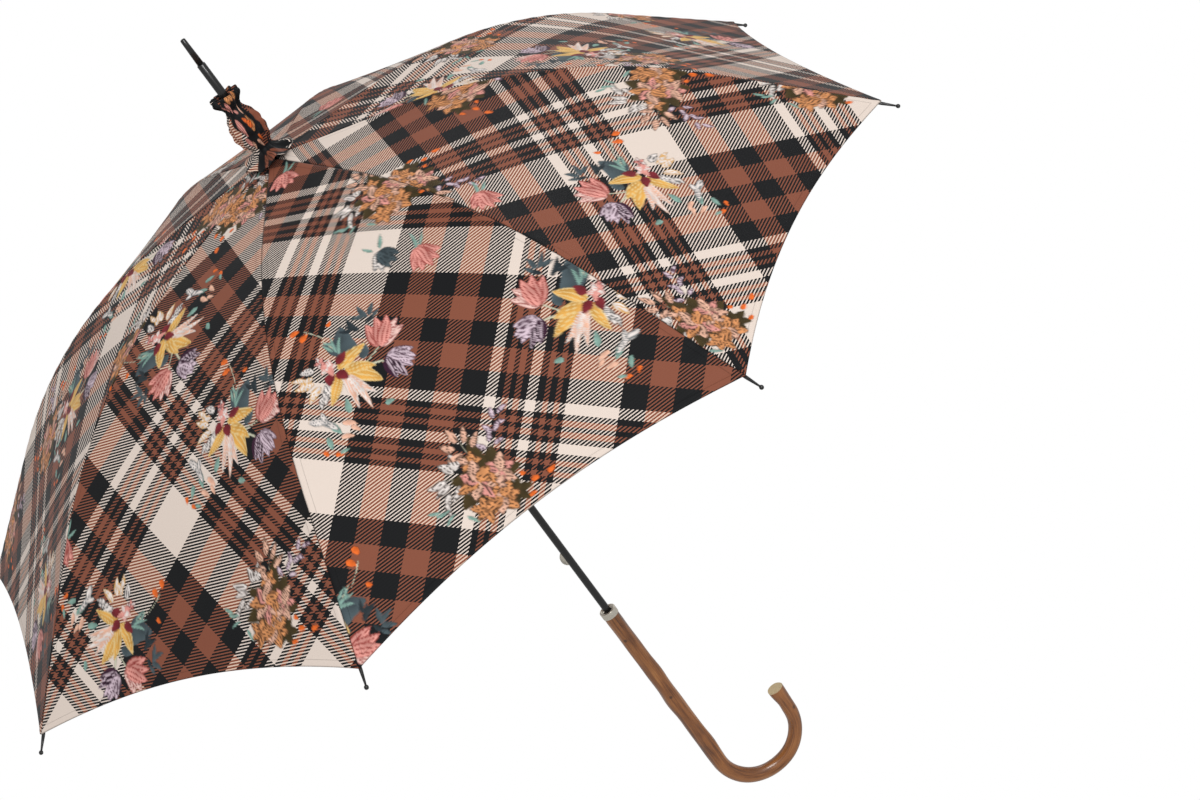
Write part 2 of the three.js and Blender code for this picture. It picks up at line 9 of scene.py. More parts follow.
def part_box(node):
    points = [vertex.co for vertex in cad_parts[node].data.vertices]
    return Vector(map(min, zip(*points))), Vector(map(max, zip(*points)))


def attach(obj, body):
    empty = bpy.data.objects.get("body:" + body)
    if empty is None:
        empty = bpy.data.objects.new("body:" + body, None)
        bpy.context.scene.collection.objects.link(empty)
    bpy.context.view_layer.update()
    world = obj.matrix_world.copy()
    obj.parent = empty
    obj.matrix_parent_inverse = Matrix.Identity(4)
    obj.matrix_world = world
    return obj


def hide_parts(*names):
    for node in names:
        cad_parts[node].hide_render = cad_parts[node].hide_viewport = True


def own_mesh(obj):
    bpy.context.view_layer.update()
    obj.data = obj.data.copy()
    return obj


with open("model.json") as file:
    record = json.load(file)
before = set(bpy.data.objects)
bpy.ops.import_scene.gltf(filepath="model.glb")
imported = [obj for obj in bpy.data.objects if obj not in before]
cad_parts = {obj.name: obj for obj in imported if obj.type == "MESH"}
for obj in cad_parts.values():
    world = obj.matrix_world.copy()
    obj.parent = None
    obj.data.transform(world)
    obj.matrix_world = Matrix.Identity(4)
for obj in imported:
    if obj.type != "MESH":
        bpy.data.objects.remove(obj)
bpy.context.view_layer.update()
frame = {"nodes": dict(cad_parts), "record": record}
bpy.ops.object.select_all(action="DESELECT")


# ---------- camera and light ----------
# A long lens from in front and above, rolled so that the shaft leans back to the upper left.
# White all round, with one broad soft lamp by the camera and a weak one behind.

CAMERA_PLACE = (-0.0398, -2.3813, 1.4270)
CAMERA_RIGHT = Vector((0.79620, -0.29965, -0.52562))
CAMERA_UP = Vector((0.60216, 0.30792, 0.73660))
FILM_WIDTH, FOCAL_LENGTH = 36, 81.9
ROOM_LIGHT = 0.54  # how much of the white surround reaches the umbrella
FLOOR_SIZE, FLOOR_HEIGHT = 80, -3.4
UMBRELLA_MIDDLE = (0, 0, 0.6)

lens = bpy.data.cameras.new("camera")
lens.sensor_width = FILM_WIDTH
lens.lens = FOCAL_LENGTH
camera = bpy.data.objects.new("camera", lens)
bpy.context.scene.collection.objects.link(camera)
camera_turn = Matrix((CAMERA_RIGHT, CAMERA_UP, CAMERA_RIGHT.cross(CAMERA_UP))).transposed()
camera.matrix_world = Matrix.Translation(CAMERA_PLACE) @ camera_turn.to_4x4()
bpy.context.scene.camera = camera
bpy.context.scene.view_settings.view_transform = "Standard"


def surround(tree, glow_kind, output_kind):
    """White to the eye, and softer as a light."""
    tree.nodes.clear()
    path = tree.nodes.new("ShaderNodeLightPath")
    level = tree.nodes.new("ShaderNodeMapRange")
    level.inputs["To Min"].default_value = ROOM_LIGHT
    level.inputs["To Max"].default_value = 1.0
    glow = tree.nodes.new(glow_kind)
    out = tree.nodes.new(output_kind)
    tree.links.new(path.outputs["Is Camera Ray"], level.inputs["Value"])
    tree.links.new(level.outputs["Result"], glow.inputs["Strength"])
    tree.links.new(glow.outputs[0], out.inputs["Surface"])
    glow.inputs["Color"].default_value = (1, 1, 1, 1)


world = bpy.data.worlds.new("white room")
bpy.context.scene.world = world
world.use_nodes = True
surround(world.node_tree, "ShaderNodeBackground", "ShaderNodeOutputWorld")

bpy.ops.mesh.primitive_plane_add(size=FLOOR_SIZE, location=(0, 0, FLOOR_HEIGHT))
floor = bpy.context.object
floor.name = "floor"
floor_paint = bpy.data.materials.new("floor")
floor_paint.use_nodes = True
surround(floor_paint.node_tree, "ShaderNodeEmission", "ShaderNodeOutputMaterial")
floor.data.materials.append(floor_paint)


def lamp(name, place, size, power):
    """A round soft lamp that faces the umbrella."""
    light = bpy.data.lights.new(name, "AREA")
    light.shape = "DISK"
    light.size = size
    light.energy = power
    holder = bpy.data.objects.new(name, light)
    holder.location = place
    holder.rotation_euler = (Vector(UMBRELLA_MIDDLE) - Vector(place)).to_track_quat("-Z", "Y").to_euler()
    bpy.context.scene.collection.objects.link(holder)


lamp("key", place=(1.0, -3.1, 2.7), size=1.4, power=66)
lamp("rim", place=(2.4, 2.6, 2.4), size=1.6, power=14)


# ---------- shader arithmetic, first needed by the cloth ----------

def tint(red, green, blue):
    """A colour from its screen values, 0 to 255."""
    return tuple(
        c / 12.92 if c <= 0.04045 else ((c + 0.055) / 1.055) ** 2.4
        for c in (red / 255, green / 255, blue / 255)
    ) + (1.0,)


class Wire:
    """An output socket. Sums, products and comparisons of wires add their Math nodes."""

    def __init__(self, tree, socket=None):
        self.tree = tree
        self.socket = socket

    def node(self, kind, settings=None, values=None, output=0):
        """Any other node: its settings or ramp stops first, then the values or wires of its sockets."""
        made = self.tree.nodes.new(kind)
        for name, value in (settings or {}).items():
            if name != "stops":
                setattr(made, name, value)
        stops = (settings or {}).get("stops")
        if stops:
            ramp = made.color_ramp
            ramp.interpolation = stops[0]
            while len(ramp.elements) < len(stops) - 1:
                ramp.elements.new(0.5)
            for element, (place, colour) in zip(ramp.elements, stops[1:]):
                element.position = place
                element.color = colour
        for name, value in (values or {}).items():
            if isinstance(value, Wire):
                self.tree.links.new(value.socket, made.inputs[name])
            else:
                made.inputs[name].default_value = value
        return Wire(self.tree, made.outputs[output])

    def maths(self, operation, *values):
        return self.node("ShaderNodeMath", {"operation": operation}, dict(enumerate(values)))

    def __add__(self, other):
        return self.maths("ADD", self, other)

    __radd__ = __add__

    def __sub__(self, other):
        return self.maths("SUBTRACT", self, other)

    def __rsub__(self, other):
        return self.maths("SUBTRACT", other, self)

    def __mul__(self, other):
        return self.maths("MULTIPLY", self, other)

    __rmul__ = __mul__

    def __truediv__(self, other):
        return self.maths("DIVIDE", self, other)

    def __gt__(self, other):
        return self.maths("GREATER_THAN", self, other)

    def __lt__(self, other):
        return self.maths("LESS_THAN", self, other)


def new_finish(name, **sockets):
    """A material with these sockets set, as the material, a wire to start from and the shader."""
    material = bpy.data.materials.new(name)
    material.use_nodes = True
    shader = material.node_tree.nodes["Principled BSDF"]
    for socket, value in sockets.items():
        shader.inputs[socket.replace("_", " ")].default_value = value
    return material, Wire(material.node_tree), shader


def feed(shader, socket, wire):
    """Links a wire to one of the shader's sockets."""
    wire.tree.links.new(wire.socket, shader.inputs[socket])


# ---------- canopy: print and weave ----------
# Satin-faced polyester twill, printed with a bias-cut plaid and scattered bouquets.
# The plaid reads the cut's own coordinates, so that it follows each panel.

BLACK = tint(22, 23, 25)
RUST = tint(142, 84, 64)
CREAM = tint(238, 222, 210)
SETT = [(CREAM, 44.0)]  # the plaid's stripes in order, with their widths in millimetres
SETT += [(BLACK, 21.3), (RUST, 21.3), (BLACK, 21.3), (RUST, 21.3), (BLACK, 21.3)]
for _ in range(2):
    SETT += [(CREAM, 9.0), (BLACK, 5.2), (RUST, 4.7), (BLACK, 4.9), (RUST, 4.7), (BLACK, 5.2)]
REPEAT = sum(width for _, width in SETT) / 1000
TWILL_PITCH = 0.0026
DARK_LEAD = 0.11  # how much wider than half the darker lines are where two stripes cross
LIGHTNESS = {BLACK: 0.0, RUST: 0.5, CREAM: 1.0}
RUST_ON_CREAM = (1.0, 0.86, 0.77, 1.0)  # warms the crossings of rust with cream
SEAM_SHADOW = 0.0012  # width of the dark line beside each seam and hem
STITCH_INSET, STITCH_HALF = 0.0062, 0.00035  # the stitches' distance in from the edge, and half their width

satin, start, satin_shader = new_finish(
    "printed_satin", Sheen_Weight=0.04, Sheen_Roughness=0.4, Specular_IOR_Level=0.14
)
satin_shader.inputs["Sheen Tint"].default_value = (0.9, 0.9, 0.92, 1)
cut = start.node("ShaderNodeUVMap", {"uv_map": "cut"})
cut_parts = cut.node("ShaderNodeSeparateXYZ", values={0: cut})
along_warp = Wire(cut_parts.tree, cut_parts.socket.node.outputs["X"])
along_weft = Wire(cut_parts.tree, cut_parts.socket.node.outputs["Y"])
stripes, stripe_lights = ["CONSTANT"], ["CONSTANT"]
stripe_start = 0.0
for colour, width in SETT:
    stripes.append((stripe_start / (REPEAT * 1000), colour))
    stripe_lights.append((stripe_start / (REPEAT * 1000), (LIGHTNESS[colour],) * 3 + (1,)))
    stripe_start += width


def plaid_stripe(coordinate, stops):
    """The stripes of one set of threads, read across them."""
    share = start.maths("FRACT", coordinate / REPEAT)
    return share.node("ShaderNodeValToRGB", {"stops": stops}, {"Fac": share})


warp_light = plaid_stripe(along_warp, stripe_lights)
weft_light = plaid_stripe(along_weft, stripe_lights)
twill = start.maths("FRACT", (along_warp + along_weft) * (math.sqrt(0.5) / TWILL_PITCH))
twill_line = twill > 0.5 + (weft_light - warp_light) * DARK_LEAD
ground = start.node(
    "ShaderNodeMix", {"data_type": "RGBA"},
    {"Factor": twill_line, 6: plaid_stripe(along_warp, stripes), 7: plaid_stripe(along_weft, stripes)},
    output=2,
)
rust_over_cream = start.maths("ABSOLUTE", warp_light * weft_light - 0.5) < 0.1
ground = start.node(
    "ShaderNodeMix", {"data_type": "RGBA", "blend_type": "MULTIPLY"},
    {"Factor": rust_over_cream, 6: ground, 7: RUST_ON_CREAM}, output=2,
)
bloom = start.node("ShaderNodeAttribute", {"attribute_name": "bloom"})
bloom_cover = Wire(bloom.tree, bloom.socket.node.outputs["Alpha"])
cloth_colour = start.node(
    "ShaderNodeMix", {"data_type": "RGBA"}, {"Factor": bloom_cover, 6: ground, 7: bloom}, output=2
)
to_edge = start.node("ShaderNodeAttribute", {"attribute_name": "margin"})
margin = Wire(to_edge.tree, to_edge.socket.node.outputs["Fac"])
seam_shade = start.node(
    "ShaderNodeMapRange",
    values={"Value": margin, "From Min": 0.0, "From Max": SEAM_SHADOW, "To Min": 0.55, "To Max": 1.0},
)
stitch = start.maths("ABSOLUTE", margin - STITCH_INSET) < STITCH_HALF
cloth_shade = seam_shade * (1 - stitch * 0.22)
cloth_colour = start.node(
    "ShaderNodeVectorMath", {"operation": "SCALE"}, {0: cloth_colour, "Scale": cloth_shade}
)
feed(satin_shader, "Base Color", cloth_colour)
slub = start.node("ShaderNodeTexNoise", values={"Vector": cut, "Scale": 60.0, "Detail": 4.0})
feed(satin_shader, "Roughness", 0.46 + slub * 0.16)
weave_height = start.maths("SINE", twill * math.tau) * 0.00003 + slub * 0.0004 - stitch * 0.0003
feed(
    satin_shader, "Normal",
    start.node("ShaderNodeBump", values={"Strength": 0.5, "Distance": 1.0, "Height": weave_height}),
)

# ---------- canopy: the bouquets ----------
# Sprays of lilies, tulips and blossoms on dark leaves, printed over the plaid.
# They are laid petal by petal in each panel's flat coordinates, in millimetres:
# u runs across the panel and v down from the crown.

PINK = tint(233, 158, 147)
ROSE = tint(150, 55, 50)
WHITE = tint(238, 228, 222)
PLUM = tint(68, 32, 56)
DEEP_PLUM = tint(52, 24, 44)
BLUSH = tint(240, 200, 190)
LILAC = tint(222, 200, 212)
OCHRE = tint(224, 168, 82)
STRAW = tint(240, 212, 150)
WINE = tint(122, 38, 46)
SLATE = tint(74, 87, 92)
DUSK = tint(44, 53, 58)
SAGE = tint(132, 168, 156)
ORANGE = tint(236, 110, 42)
PEACH = tint(238, 186, 160)
APRICOT = tint(224, 152, 98)
OLIVE = tint(68, 55, 28)
BARK = tint(44, 28, 20)
STEM = tint(203, 203, 178)


def tulip(x, y, heading, size, near, far, streak):
    """Five overlapping petals in a fan, as (x, y, heading, length, width, colour, streak, edge)."""
    fan = [(-40, 0.88, near), (40, 0.88, far), (-20, 0.98, near), (21, 0.97, far), (0, 1.0, near)]
    return [
        (x, y, heading + turn, size * share, size * 0.4, colour, streak, streak)
        for turn, share, colour in fan
    ]


def blossom(x, y, size, count, colours, edge, first=0):
    """Petals all round a middle, in turn in the given colours."""
    petals = []
    for i in range(count):
        length = size * (0.9 + 0.2 * (i % 2))
        colour = colours[i % len(colours)]
        petals.append((x, y, first + i * 360 / count, length, size * 0.62, colour, edge, edge))
    return petals


def leaves(colour, edge, *places):
    """Single petals or leaves of one colour, each as (x, y, heading, length, width)."""
    return [(x, y, heading, length, width, colour, edge, edge) for x, y, heading, length, width in places]


LILY_SPRAY = leaves(
    SLATE, None, (13, -2, -62, 30, 19), (22, 4, -82, 25, 14), (27, 12, -62, 16, 9),
    (12, -6, -100, 20, 9),
)
LILY_SPRAY += leaves(
    DUSK, None, (38, -14, -125, 14, 5), (36, -16, -95, 15, 5), (33, -18, -145, 12, 4),
    (46, -16, -12, 12, 4),
)
LILY_SPRAY += leaves(
    SLATE, None, (50, -20, -96, 16, 5), (52, -20, -45, 13, 5), (48, -22, -150, 12, 4.5),
    (54, -17, -20, 9, 4),
)
LILY_SPRAY += leaves(STEM, None, (0, -48, 62, 24, 1.3), (8, -28, 75, 18, 1.2))
LILY_SPRAY += leaves(
    ORANGE, None, (-11, -52, 5, 9, 6), (-7, -40, -20, 10, 6), (18, -37, -30, 7, 4),
    (-44, 60, 80, 7, 4), (-38, 69, 30, 7, 4),
)
LILY_SPRAY += leaves(
    SAGE, None, (13, -6, -58, 17, 3), (12, -9, -78, 18, 2.4), (10, -12, -110, 13, 2.4),
    (-8, 46, -72, 14, 6),
)
LILY_SPRAY += leaves(
    SAGE, None, (-26, 43, 78, 14, 6), (-35, 52, 100, 12, 5), (19, 58, 18, 9, 5),
    (-34, 70, 10, 9, 3), (14, -16, -130, 12, 2),
)
LILY_SPRAY += leaves(WHITE, SLATE, (-40, 30, 38, 19, 7), (-31, 38, 62, 16, 6), (-27, 30, 95, 13, 5))
LILY_SPRAY += leaves(PEACH, None, (-18, 49, 42, 13, 5), (-26, 59, 30, 12, 4.5), (-14, 56, 60, 10, 4))
LILY_SPRAY += leaves(
    WHITE, OCHRE, (-16, -3, 172, 15, 6), (-18, 3, 200, 17, 6.5), (-15, 9, 152, 18, 7),
    (-22, -4, 215, 13, 5),
)
LILY_SPRAY += leaves(
    WHITE, DUSK, (-12, 14, 122, 16, 7), (-9, 10, 102, 16, 7.5), (-12, -7, -150, 13, 8),
    (-5, 16, 112, 15, 6), (-19, 18, 120, 12, 5),
)
LILY_SPRAY += leaves(STEM, None, (21, 17, -17, 27, 2.0), (22, 17, 25, 28, 2.0))
LILY_SPRAY += leaves(
    OCHRE, STRAW, (5, 5, -9, 31, 11.5), (9, 9, 56, 37, 14), (3, 8, 131, 31, 10),
    (8, 10, 30, 28, 10),
)
LILY_SPRAY += leaves(PEACH, WHITE, (5, 14, 98, 34, 6.5), (9, 16, 70, 31, 6.5))
LILY_SPRAY += leaves(WHITE, PEACH, (7, 14, 87, 41, 6.5))
LILY_SPRAY += leaves(WINE, None, (7, 1, -28, 13, 8), (-2, 4, 122, 12, 9), (2, 7, 62, 13, 9))
LILY_SPRAY += blossom(-1, -2, 9, 5, (WHITE, PINK), PINK, 20)
LILY_SPRAY += blossom(-4, -11, 6, 5, (PINK, WHITE), WINE, 50)
LILY_SPRAY += tulip(44, 12, -48, 30, PINK, BLUSH, ROSE)
LILY_SPRAY += tulip(44, 23, 62, 26, LILAC, DEEP_PLUM, PLUM)
LILY_SPRAY += leaves(DEEP_PLUM, LILAC, (45, 25, 84, 25, 9), (44, 24, 100, 22, 7))
LILY_SPRAY += leaves(LILAC, PLUM, (46, 23, 52, 24, 8))

BLOSSOM_SPRAY = [(0, -2, turn, 30, 17, OLIVE, None, None) for turn in (10, 60, 115, 165, 215, 262, 310)]
BLOSSOM_SPRAY += leaves(
    OLIVE, None, (2, -10, -78, 34, 13), (13, 20, 10, 15, 8), (13, 20, 60, 14, 8),
    (13, 20, -50, 13, 7), (13, 20, 115, 13, 8),
)
BLOSSOM_SPRAY += leaves(
    STEM, BARK, (-4, -14, 205, 32, 1.2), (16, -22, -42, 34, 1.0), (0, -20, -88, 30, 1.2),
)
BLOSSOM_SPRAY += leaves(
    WHITE, BARK, (-18, -25, -118, 15, 8), (-15, -25, -80, 16, 9), (-26, -22, -165, 18, 7.5),
    (-26, -18, 172, 16, 6.5),
)
BLOSSOM_SPRAY += leaves(
    WHITE, BARK, (-30, -13, 128, 15, 6), (-19, -12, 150, 15, 7), (-13, -15, 112, 14, 6.5),
    (-36, -8, 108, 14, 5),
)
BLOSSOM_SPRAY += leaves(
    PEACH, BARK, (-6, -40, -128, 14, 7), (-2, -44, -92, 16, 7), (3, -40, -60, 16, 6),
    (6, -33, -38, 15, 6.5), (-3, -33, 192, 14, 6.5),
)
BLOSSOM_SPRAY += leaves(
    LILAC, PLUM, (20, -28, -62, 11, 5), (26, -33, -104, 11, 5), (28, -33, -28, 12, 5),
    (34, -42, -72, 11, 5), (22, -24, 4, 10, 4.5),
)
BLOSSOM_SPRAY += leaves(
    LILAC, PLUM, (39, -44, -8, 11, 4.5), (15, -25, -122, 10, 5), (33, -38, 20, 9, 4),
)
BLOSSOM_SPRAY += blossom(-2, -24, 11, 5, (APRICOT, PEACH), BARK, 15)
BLOSSOM_SPRAY += blossom(-14, 17, 13, 6, (APRICOT,), BARK, 40)
BLOSSOM_SPRAY += blossom(2, 16, 17, 7, (APRICOT, APRICOT, PEACH), BARK, 20)
BLOSSOM_SPRAY += blossom(13, -3, 15, 6, (PINK, PEACH), BARK, 5)
BLOSSOM_SPRAY += blossom(-6, -6, 18, 7, (APRICOT, PINK, PEACH), BARK, 30)
BLOSSOM_SPRAY += blossom(5, 4, 10, 5, (PEACH, APRICOT), BARK, 60)
BLOSSOM_SPRAY += leaves(
    ORANGE, None, (28, 20, 10, 8, 5), (42, 23, -10, 9, 5), (24, 9, 40, 6, 4), (20, 30, 0, 7, 4),
)
BLOSSOM_SPRAY += leaves(
    SAGE, None, (-54, -9, 28, 11, 3), (-50, -3, 8, 12, 3), (-47, 8, -20, 12, 2.5),
    (-30, 12, 60, 12, 3),
)

SLATE_TULIP = tulip(0, -10, 90, 24, SLATE, WHITE, DUSK)
SLATE_TULIP += leaves(SAGE, None, (2, -12, -60, 16, 4), (-4, -14, -120, 12, 3))
ROSE_TULIP = leaves(SAGE, None, (0, -10, -80, 20, 3.5), (4, -12, -50, 14, 3))
ROSE_TULIP += tulip(0, -12, 85, 27, PINK, PINK, ROSE)
SPRAYS = {"lily": LILY_SPRAY, "blossom": BLOSSOM_SPRAY, "slate": SLATE_TULIP, "rose": ROSE_TULIP}

# Each panel's plaid phase, which is where its wide cream stripes start, then its sprays:
# kind, u, v, turn, and -1 if mirrored.
CUTS = {
    1: ((300.0, 180.0), [
        ("lily", 40, 250, 40, 1), ("blossom", -60, 330, 0, 1), ("lily", 90, 440, -75, 1),
        ("blossom", -100, 470, 120, 1), ("rose", 0, 110, 0, 1),
    ]),
    2: ((180.0, 270.0), [
        ("lily", -30, 290, 73, -1), ("blossom", 60, 350, 20, 1), ("lily", -100, 440, 0, 1),
        ("blossom", 20, 150, 90, 1), ("blossom", 110, 480, 0, -1),
    ]),
    3: ((220.0, 330.0), [
        ("lily", 30, 200, 0, 1), ("blossom", -60, 260, 0, 1), ("lily", 80, 350, 216, -1),
        ("blossom", -90, 430, 60, 1), ("lily", 20, 470, 77, 1),
    ]),
    4: ((132.6, 118.4), [
        ("lily", -74, 170, -75, 1), ("lily", -22, 301, -75, 1), ("blossom", -49, 344, 168, -1),
        ("lily", 98, 432, 77, 1), ("blossom", 84, 205, 20, 1), ("blossom", -150, 470, 0, 1),
        ("blossom", 12, 62, 60, 1),
    ]),
    5: ((241.8, 250.2), [
        ("lily", 54, 301, 0, 1), ("lily", -48, 201, 73, -1), ("lily", -75, 447, 77, 1),
        ("blossom", 101, 471, 0, 1), ("blossom", 2, 64, 80, 1), ("rose", -148, 380, 20, 1),
    ]),
    6: ((371.0, 346.0), [
        ("lily", -69, 306, 0, 1), ("lily", 139, 398, 222, -1), ("blossom", -22, 474, 0, 1),
        ("blossom", 56, 182, -8, 1), ("slate", 22, 245, 0, 1), ("rose", 48, 270, 0, 1),
        ("rose", -4, 54, 20, 1), ("lily", -188, 470, 77, 1),
    ]),
    7: ((262.0, 222.0), [
        ("lily", -5, 377, 216, -1), ("blossom", 106, 350, 70, -1), ("blossom", -150, 486, 0, 1),
        ("blossom", 62, 178, 100, 1), ("blossom", -78, 190, 30, -1), ("rose", -90, 266, 40, 1),
        ("blossom", 175, 470, 40, 1),
    ]),
    8: ((108.5, 142.5), [
        ("lily", -66, 160, -75, 1), ("lily", -61, 301, -75, 1), ("blossom", -92, 344, 168, -1),
        ("lily", 59, 428, 77, 1), ("blossom", 55, 214, 20, 1), ("blossom", 150, 400, 0, 1),
    ]),
}
SPRAY_REACH = 95  # no petal lies further than this from its spray's middle
PETAL_BOW = 0.06  # the most that a petal bends sideways, as a share of its length
PETAL_FADE = 0.8  # the soft edge of a petal, in millimetres
PETAL_RIM = 0.9  # the inked edge of a petal, in millimetres
STREAKS = 3.0  # printed lines on each half of a streaked petal


def paint_petal(u, v, paint, petal):
    """Lays one petal over what is painted already: paint holds red, green, blue and cover for each point."""
    x, y, heading, length, width, colour, streak, edge = petal
    angle = math.radians(heading)
    along = ((u - x) * math.cos(angle) + (v - y) * math.sin(angle)) / length
    across = (v - y) * math.cos(angle) - (u - x) * math.sin(angle)
    inside = (along > 0) & (along < 1) & (np.abs(across) < width)
    if not inside.any():
        return
    along, across = along[inside], across[inside]
    bow = PETAL_BOW * length * math.sin(heading)  # differs from one heading to the next
    across = across - bow * np.sin(math.pi * along)
    half = 0.5 * width * np.sin(math.pi * along ** 0.72) ** 0.75 + 0.05
    depth = half - np.abs(across)
    cover = np.clip(0.5 + depth / PETAL_FADE, 0, 1)
    share = across / half
    rgb = np.array(colour[:3])[None] * (1 + 0.22 * share[:, None] + 0.1 * np.sin(9 * along + x)[:, None])
    if streak is not None:
        lines = np.cos(math.pi * (STREAKS * share + 0.7 * np.sin(5 * along + y)))
        lines = np.clip(2.0 * lines - 0.75, 0, 1)
        lines = lines * np.clip(0.35 + np.sin(math.pi * along), 0, 1) * 0.9
        rgb = rgb * (1 - lines[:, None]) + np.array(streak[:3])[None] * lines[:, None]
    if edge is not None:
        rim = np.clip(1.25 - depth / PETAL_RIM, 0, 1) * 0.85
        rgb = rgb * (1 - rim[:, None]) + np.array(edge[:3])[None] * rim[:, None]
    under = paint[inside]
    alpha = cover + under[:, 3] * (1 - cover)
    mixed = rgb * cover[:, None] + under[:, :3] * (under[:, 3] * (1 - cover))[:, None]
    under[:, :3] = mixed / np.maximum(alpha, 1e-6)[:, None]
    under[:, 3] = alpha
    paint[inside] = under


def paint_sprays(u, v, sprays):
    """Red, green, blue and cover at each point of a cut piece of the cloth."""
    paint = np.zeros((len(u), 4))
    for kind, middle_u, middle_v, turn, side in sprays:
        angle = math.radians(turn)
        du, dv = u - middle_u, v - middle_v
        near = np.hypot(du, dv) < SPRAY_REACH
        x = du[near] * math.cos(angle) + dv[near] * math.sin(angle)
        y = (dv[near] * math.cos(angle) - du[near] * math.sin(angle)) * side
        part = paint[near]
        for petal in SPRAYS[kind]:
            paint_petal(x, y, part, petal)
        paint[near] = part
    paint[:, :3] = np.clip(paint[:, :3], 0, 1)
    return paint


def cut_cloth(name, points, faces, smooth, u, v, phase, sprays, margins):
    """A piece of the printed cloth: points and faces in metres, and its cut's u and v in millimetres."""
    mesh = bpy.data.meshes.new(name)
    mesh.from_pydata(points, [], faces)
    mesh.polygons.foreach_set("use_smooth", smooth)
    warp = ((v + u) * math.sqrt(0.5) - phase[0]) / 1000
    weft = ((v - u) * math.sqrt(0.5) - phase[1]) / 1000
    corners = np.zeros(len(mesh.loops), int)
    mesh.loops.foreach_get("vertex_index", corners)
    layer = mesh.uv_layers.new(name="cut")
    layer.data.foreach_set("uv", np.stack([warp[corners], weft[corners]], 1).ravel().astype(np.float32))
    petals = mesh.attributes.new("bloom", "FLOAT_COLOR", "POINT")
    petals.data.foreach_set("color", paint_sprays(u, v, sprays).ravel().astype(np.float32))
    edge = mesh.attributes.new("margin", "FLOAT", "POINT")
    edge.data.foreach_set("value", margins.astype(np.float32))
    mesh.materials.append(satin)
    mesh.update()
    piece = bpy.data.objects.new(name, mesh)
    bpy.context.scene.collection.objects.link(piece)
    return piece


# ---------- canopy: eight panels ----------
# Each panel is one sheet, cut to a curved triangle and taut from rib to rib.
# It has felled seams and a narrow turned hem, and is sewn to the ribs.
# It rides on the arm of its gore, between its two ribs.

CROWN_Z = 0.700
PIVOT_RADIUS = 0.0075
PIVOT_DROP = 0.0072
CROWN_SLOPE, EDGE_SLOPE = math.radians(8), math.radians(41)
CROWN_RUN, BEND_RADIUS = 0.120, 0.497
BEND_LENGTH = BEND_RADIUS * (EDGE_SLOPE - CROWN_SLOPE)
FABRIC_RISE, CLOTH_THICKNESS = 0.0027, 0.0004
RIB_LENGTH = 0.5570
HEM_HOLLOW = 0.022
HALF_STEP = math.pi / 8
PANEL_ROWS, PANEL_COLUMNS = 352, 256
CROWN_HOLE = 0.013
SEAM_GAP = 0.00008  # each panel stops this far short of the middle of its rib
FELL_WIDTH, FELL_EDGE, FELL_HEIGHT = 0.0075, 0.0015, 0.00028
HEM_WIDTH, HEM_EDGE, HEM_HEIGHT = 0.007, 0.001, 0.0002
GROOVE_WIDTH, GROOVE_DEPTH = 0.0011, 0.00045
PANEL_SAG = 0.0012
PUCKER_REACH, PUCKER_HEIGHT = 0.02, 0.00012
PUCKER_TURNS = 330  # radians of pucker in each metre of seam


def beside_rib(run, rise):
    """Distance from the shaft's axis and height of a point beside a rib: run along it, rise square to it."""
    slope = CROWN_SLOPE + np.clip(run - CROWN_RUN, 0, BEND_LENGTH) / BEND_RADIUS
    inner, outer = np.minimum(run, CROWN_RUN), np.maximum(run - CROWN_RUN - BEND_LENGTH, 0)
    out = PIVOT_RADIUS + inner * math.cos(CROWN_SLOPE) + outer * np.cos(slope)
    out = out + BEND_RADIUS * (np.sin(slope) - math.sin(CROWN_SLOPE))
    down = PIVOT_DROP + inner * math.sin(CROWN_SLOPE) + outer * np.sin(slope)
    down = down + BEND_RADIUS * (math.cos(CROWN_SLOPE) - np.cos(slope))
    return out + rise * np.sin(slope), CROWN_Z - down + rise * np.cos(slope)


profile_runs = np.linspace(-0.02, 0.58, 1201)
profile_out, profile_up = beside_rib(profile_runs, FABRIC_RISE)
middle_out = profile_out * math.cos(HALF_STEP)
middle_steps = np.hypot(np.diff(middle_out), np.diff(profile_up))
middle_length = middle_out[0] + np.concatenate([[0], np.cumsum(middle_steps)])
crown_start = float(np.interp(CROWN_HOLE, profile_out, profile_runs))


def panel_face(step):
    """One face of a panel: rows of vertex numbers, and each vertex's share of the way out and across."""
    rows, shares, across, count = [], [], [], 0
    for row in range(0, PANEL_ROWS + 1, step):
        share = row / PANEL_ROWS
        columns = PANEL_COLUMNS // step
        for part in (0.5, 0.25, 0.125):
            columns //= 2 if share < part else 1
        rows.append(np.arange(count, count + columns + 1))
        shares.append(np.full(columns + 1, share))
        across.append(np.linspace(-1, 1, columns + 1))
        count += columns + 1
    return rows, np.concatenate(shares), np.concatenate(across)


def panel_faces(rows):
    """Quads between rows of the same count, and five-sided faces where the count doubles."""
    faces = []
    for inner, outer in zip(rows[:-1], rows[1:]):
        ratio = (len(outer) - 1) // (len(inner) - 1)
        for j in range(len(inner) - 1):
            faces.append([inner[j], *outer[j * ratio: (j + 1) * ratio + 1], inner[j + 1]])
    return faces


def rim_faces(fine, coarse, turn_round):
    """The thin rim that joins the fine upper face to the coarse lower one along one side."""
    faces = []
    for j in range(len(coarse) - 1):
        face = [*fine[2 * j: 2 * j + 3], coarse[j + 1], coarse[j]]
        faces.append(face[::-1] if turn_round else face)
    return faces


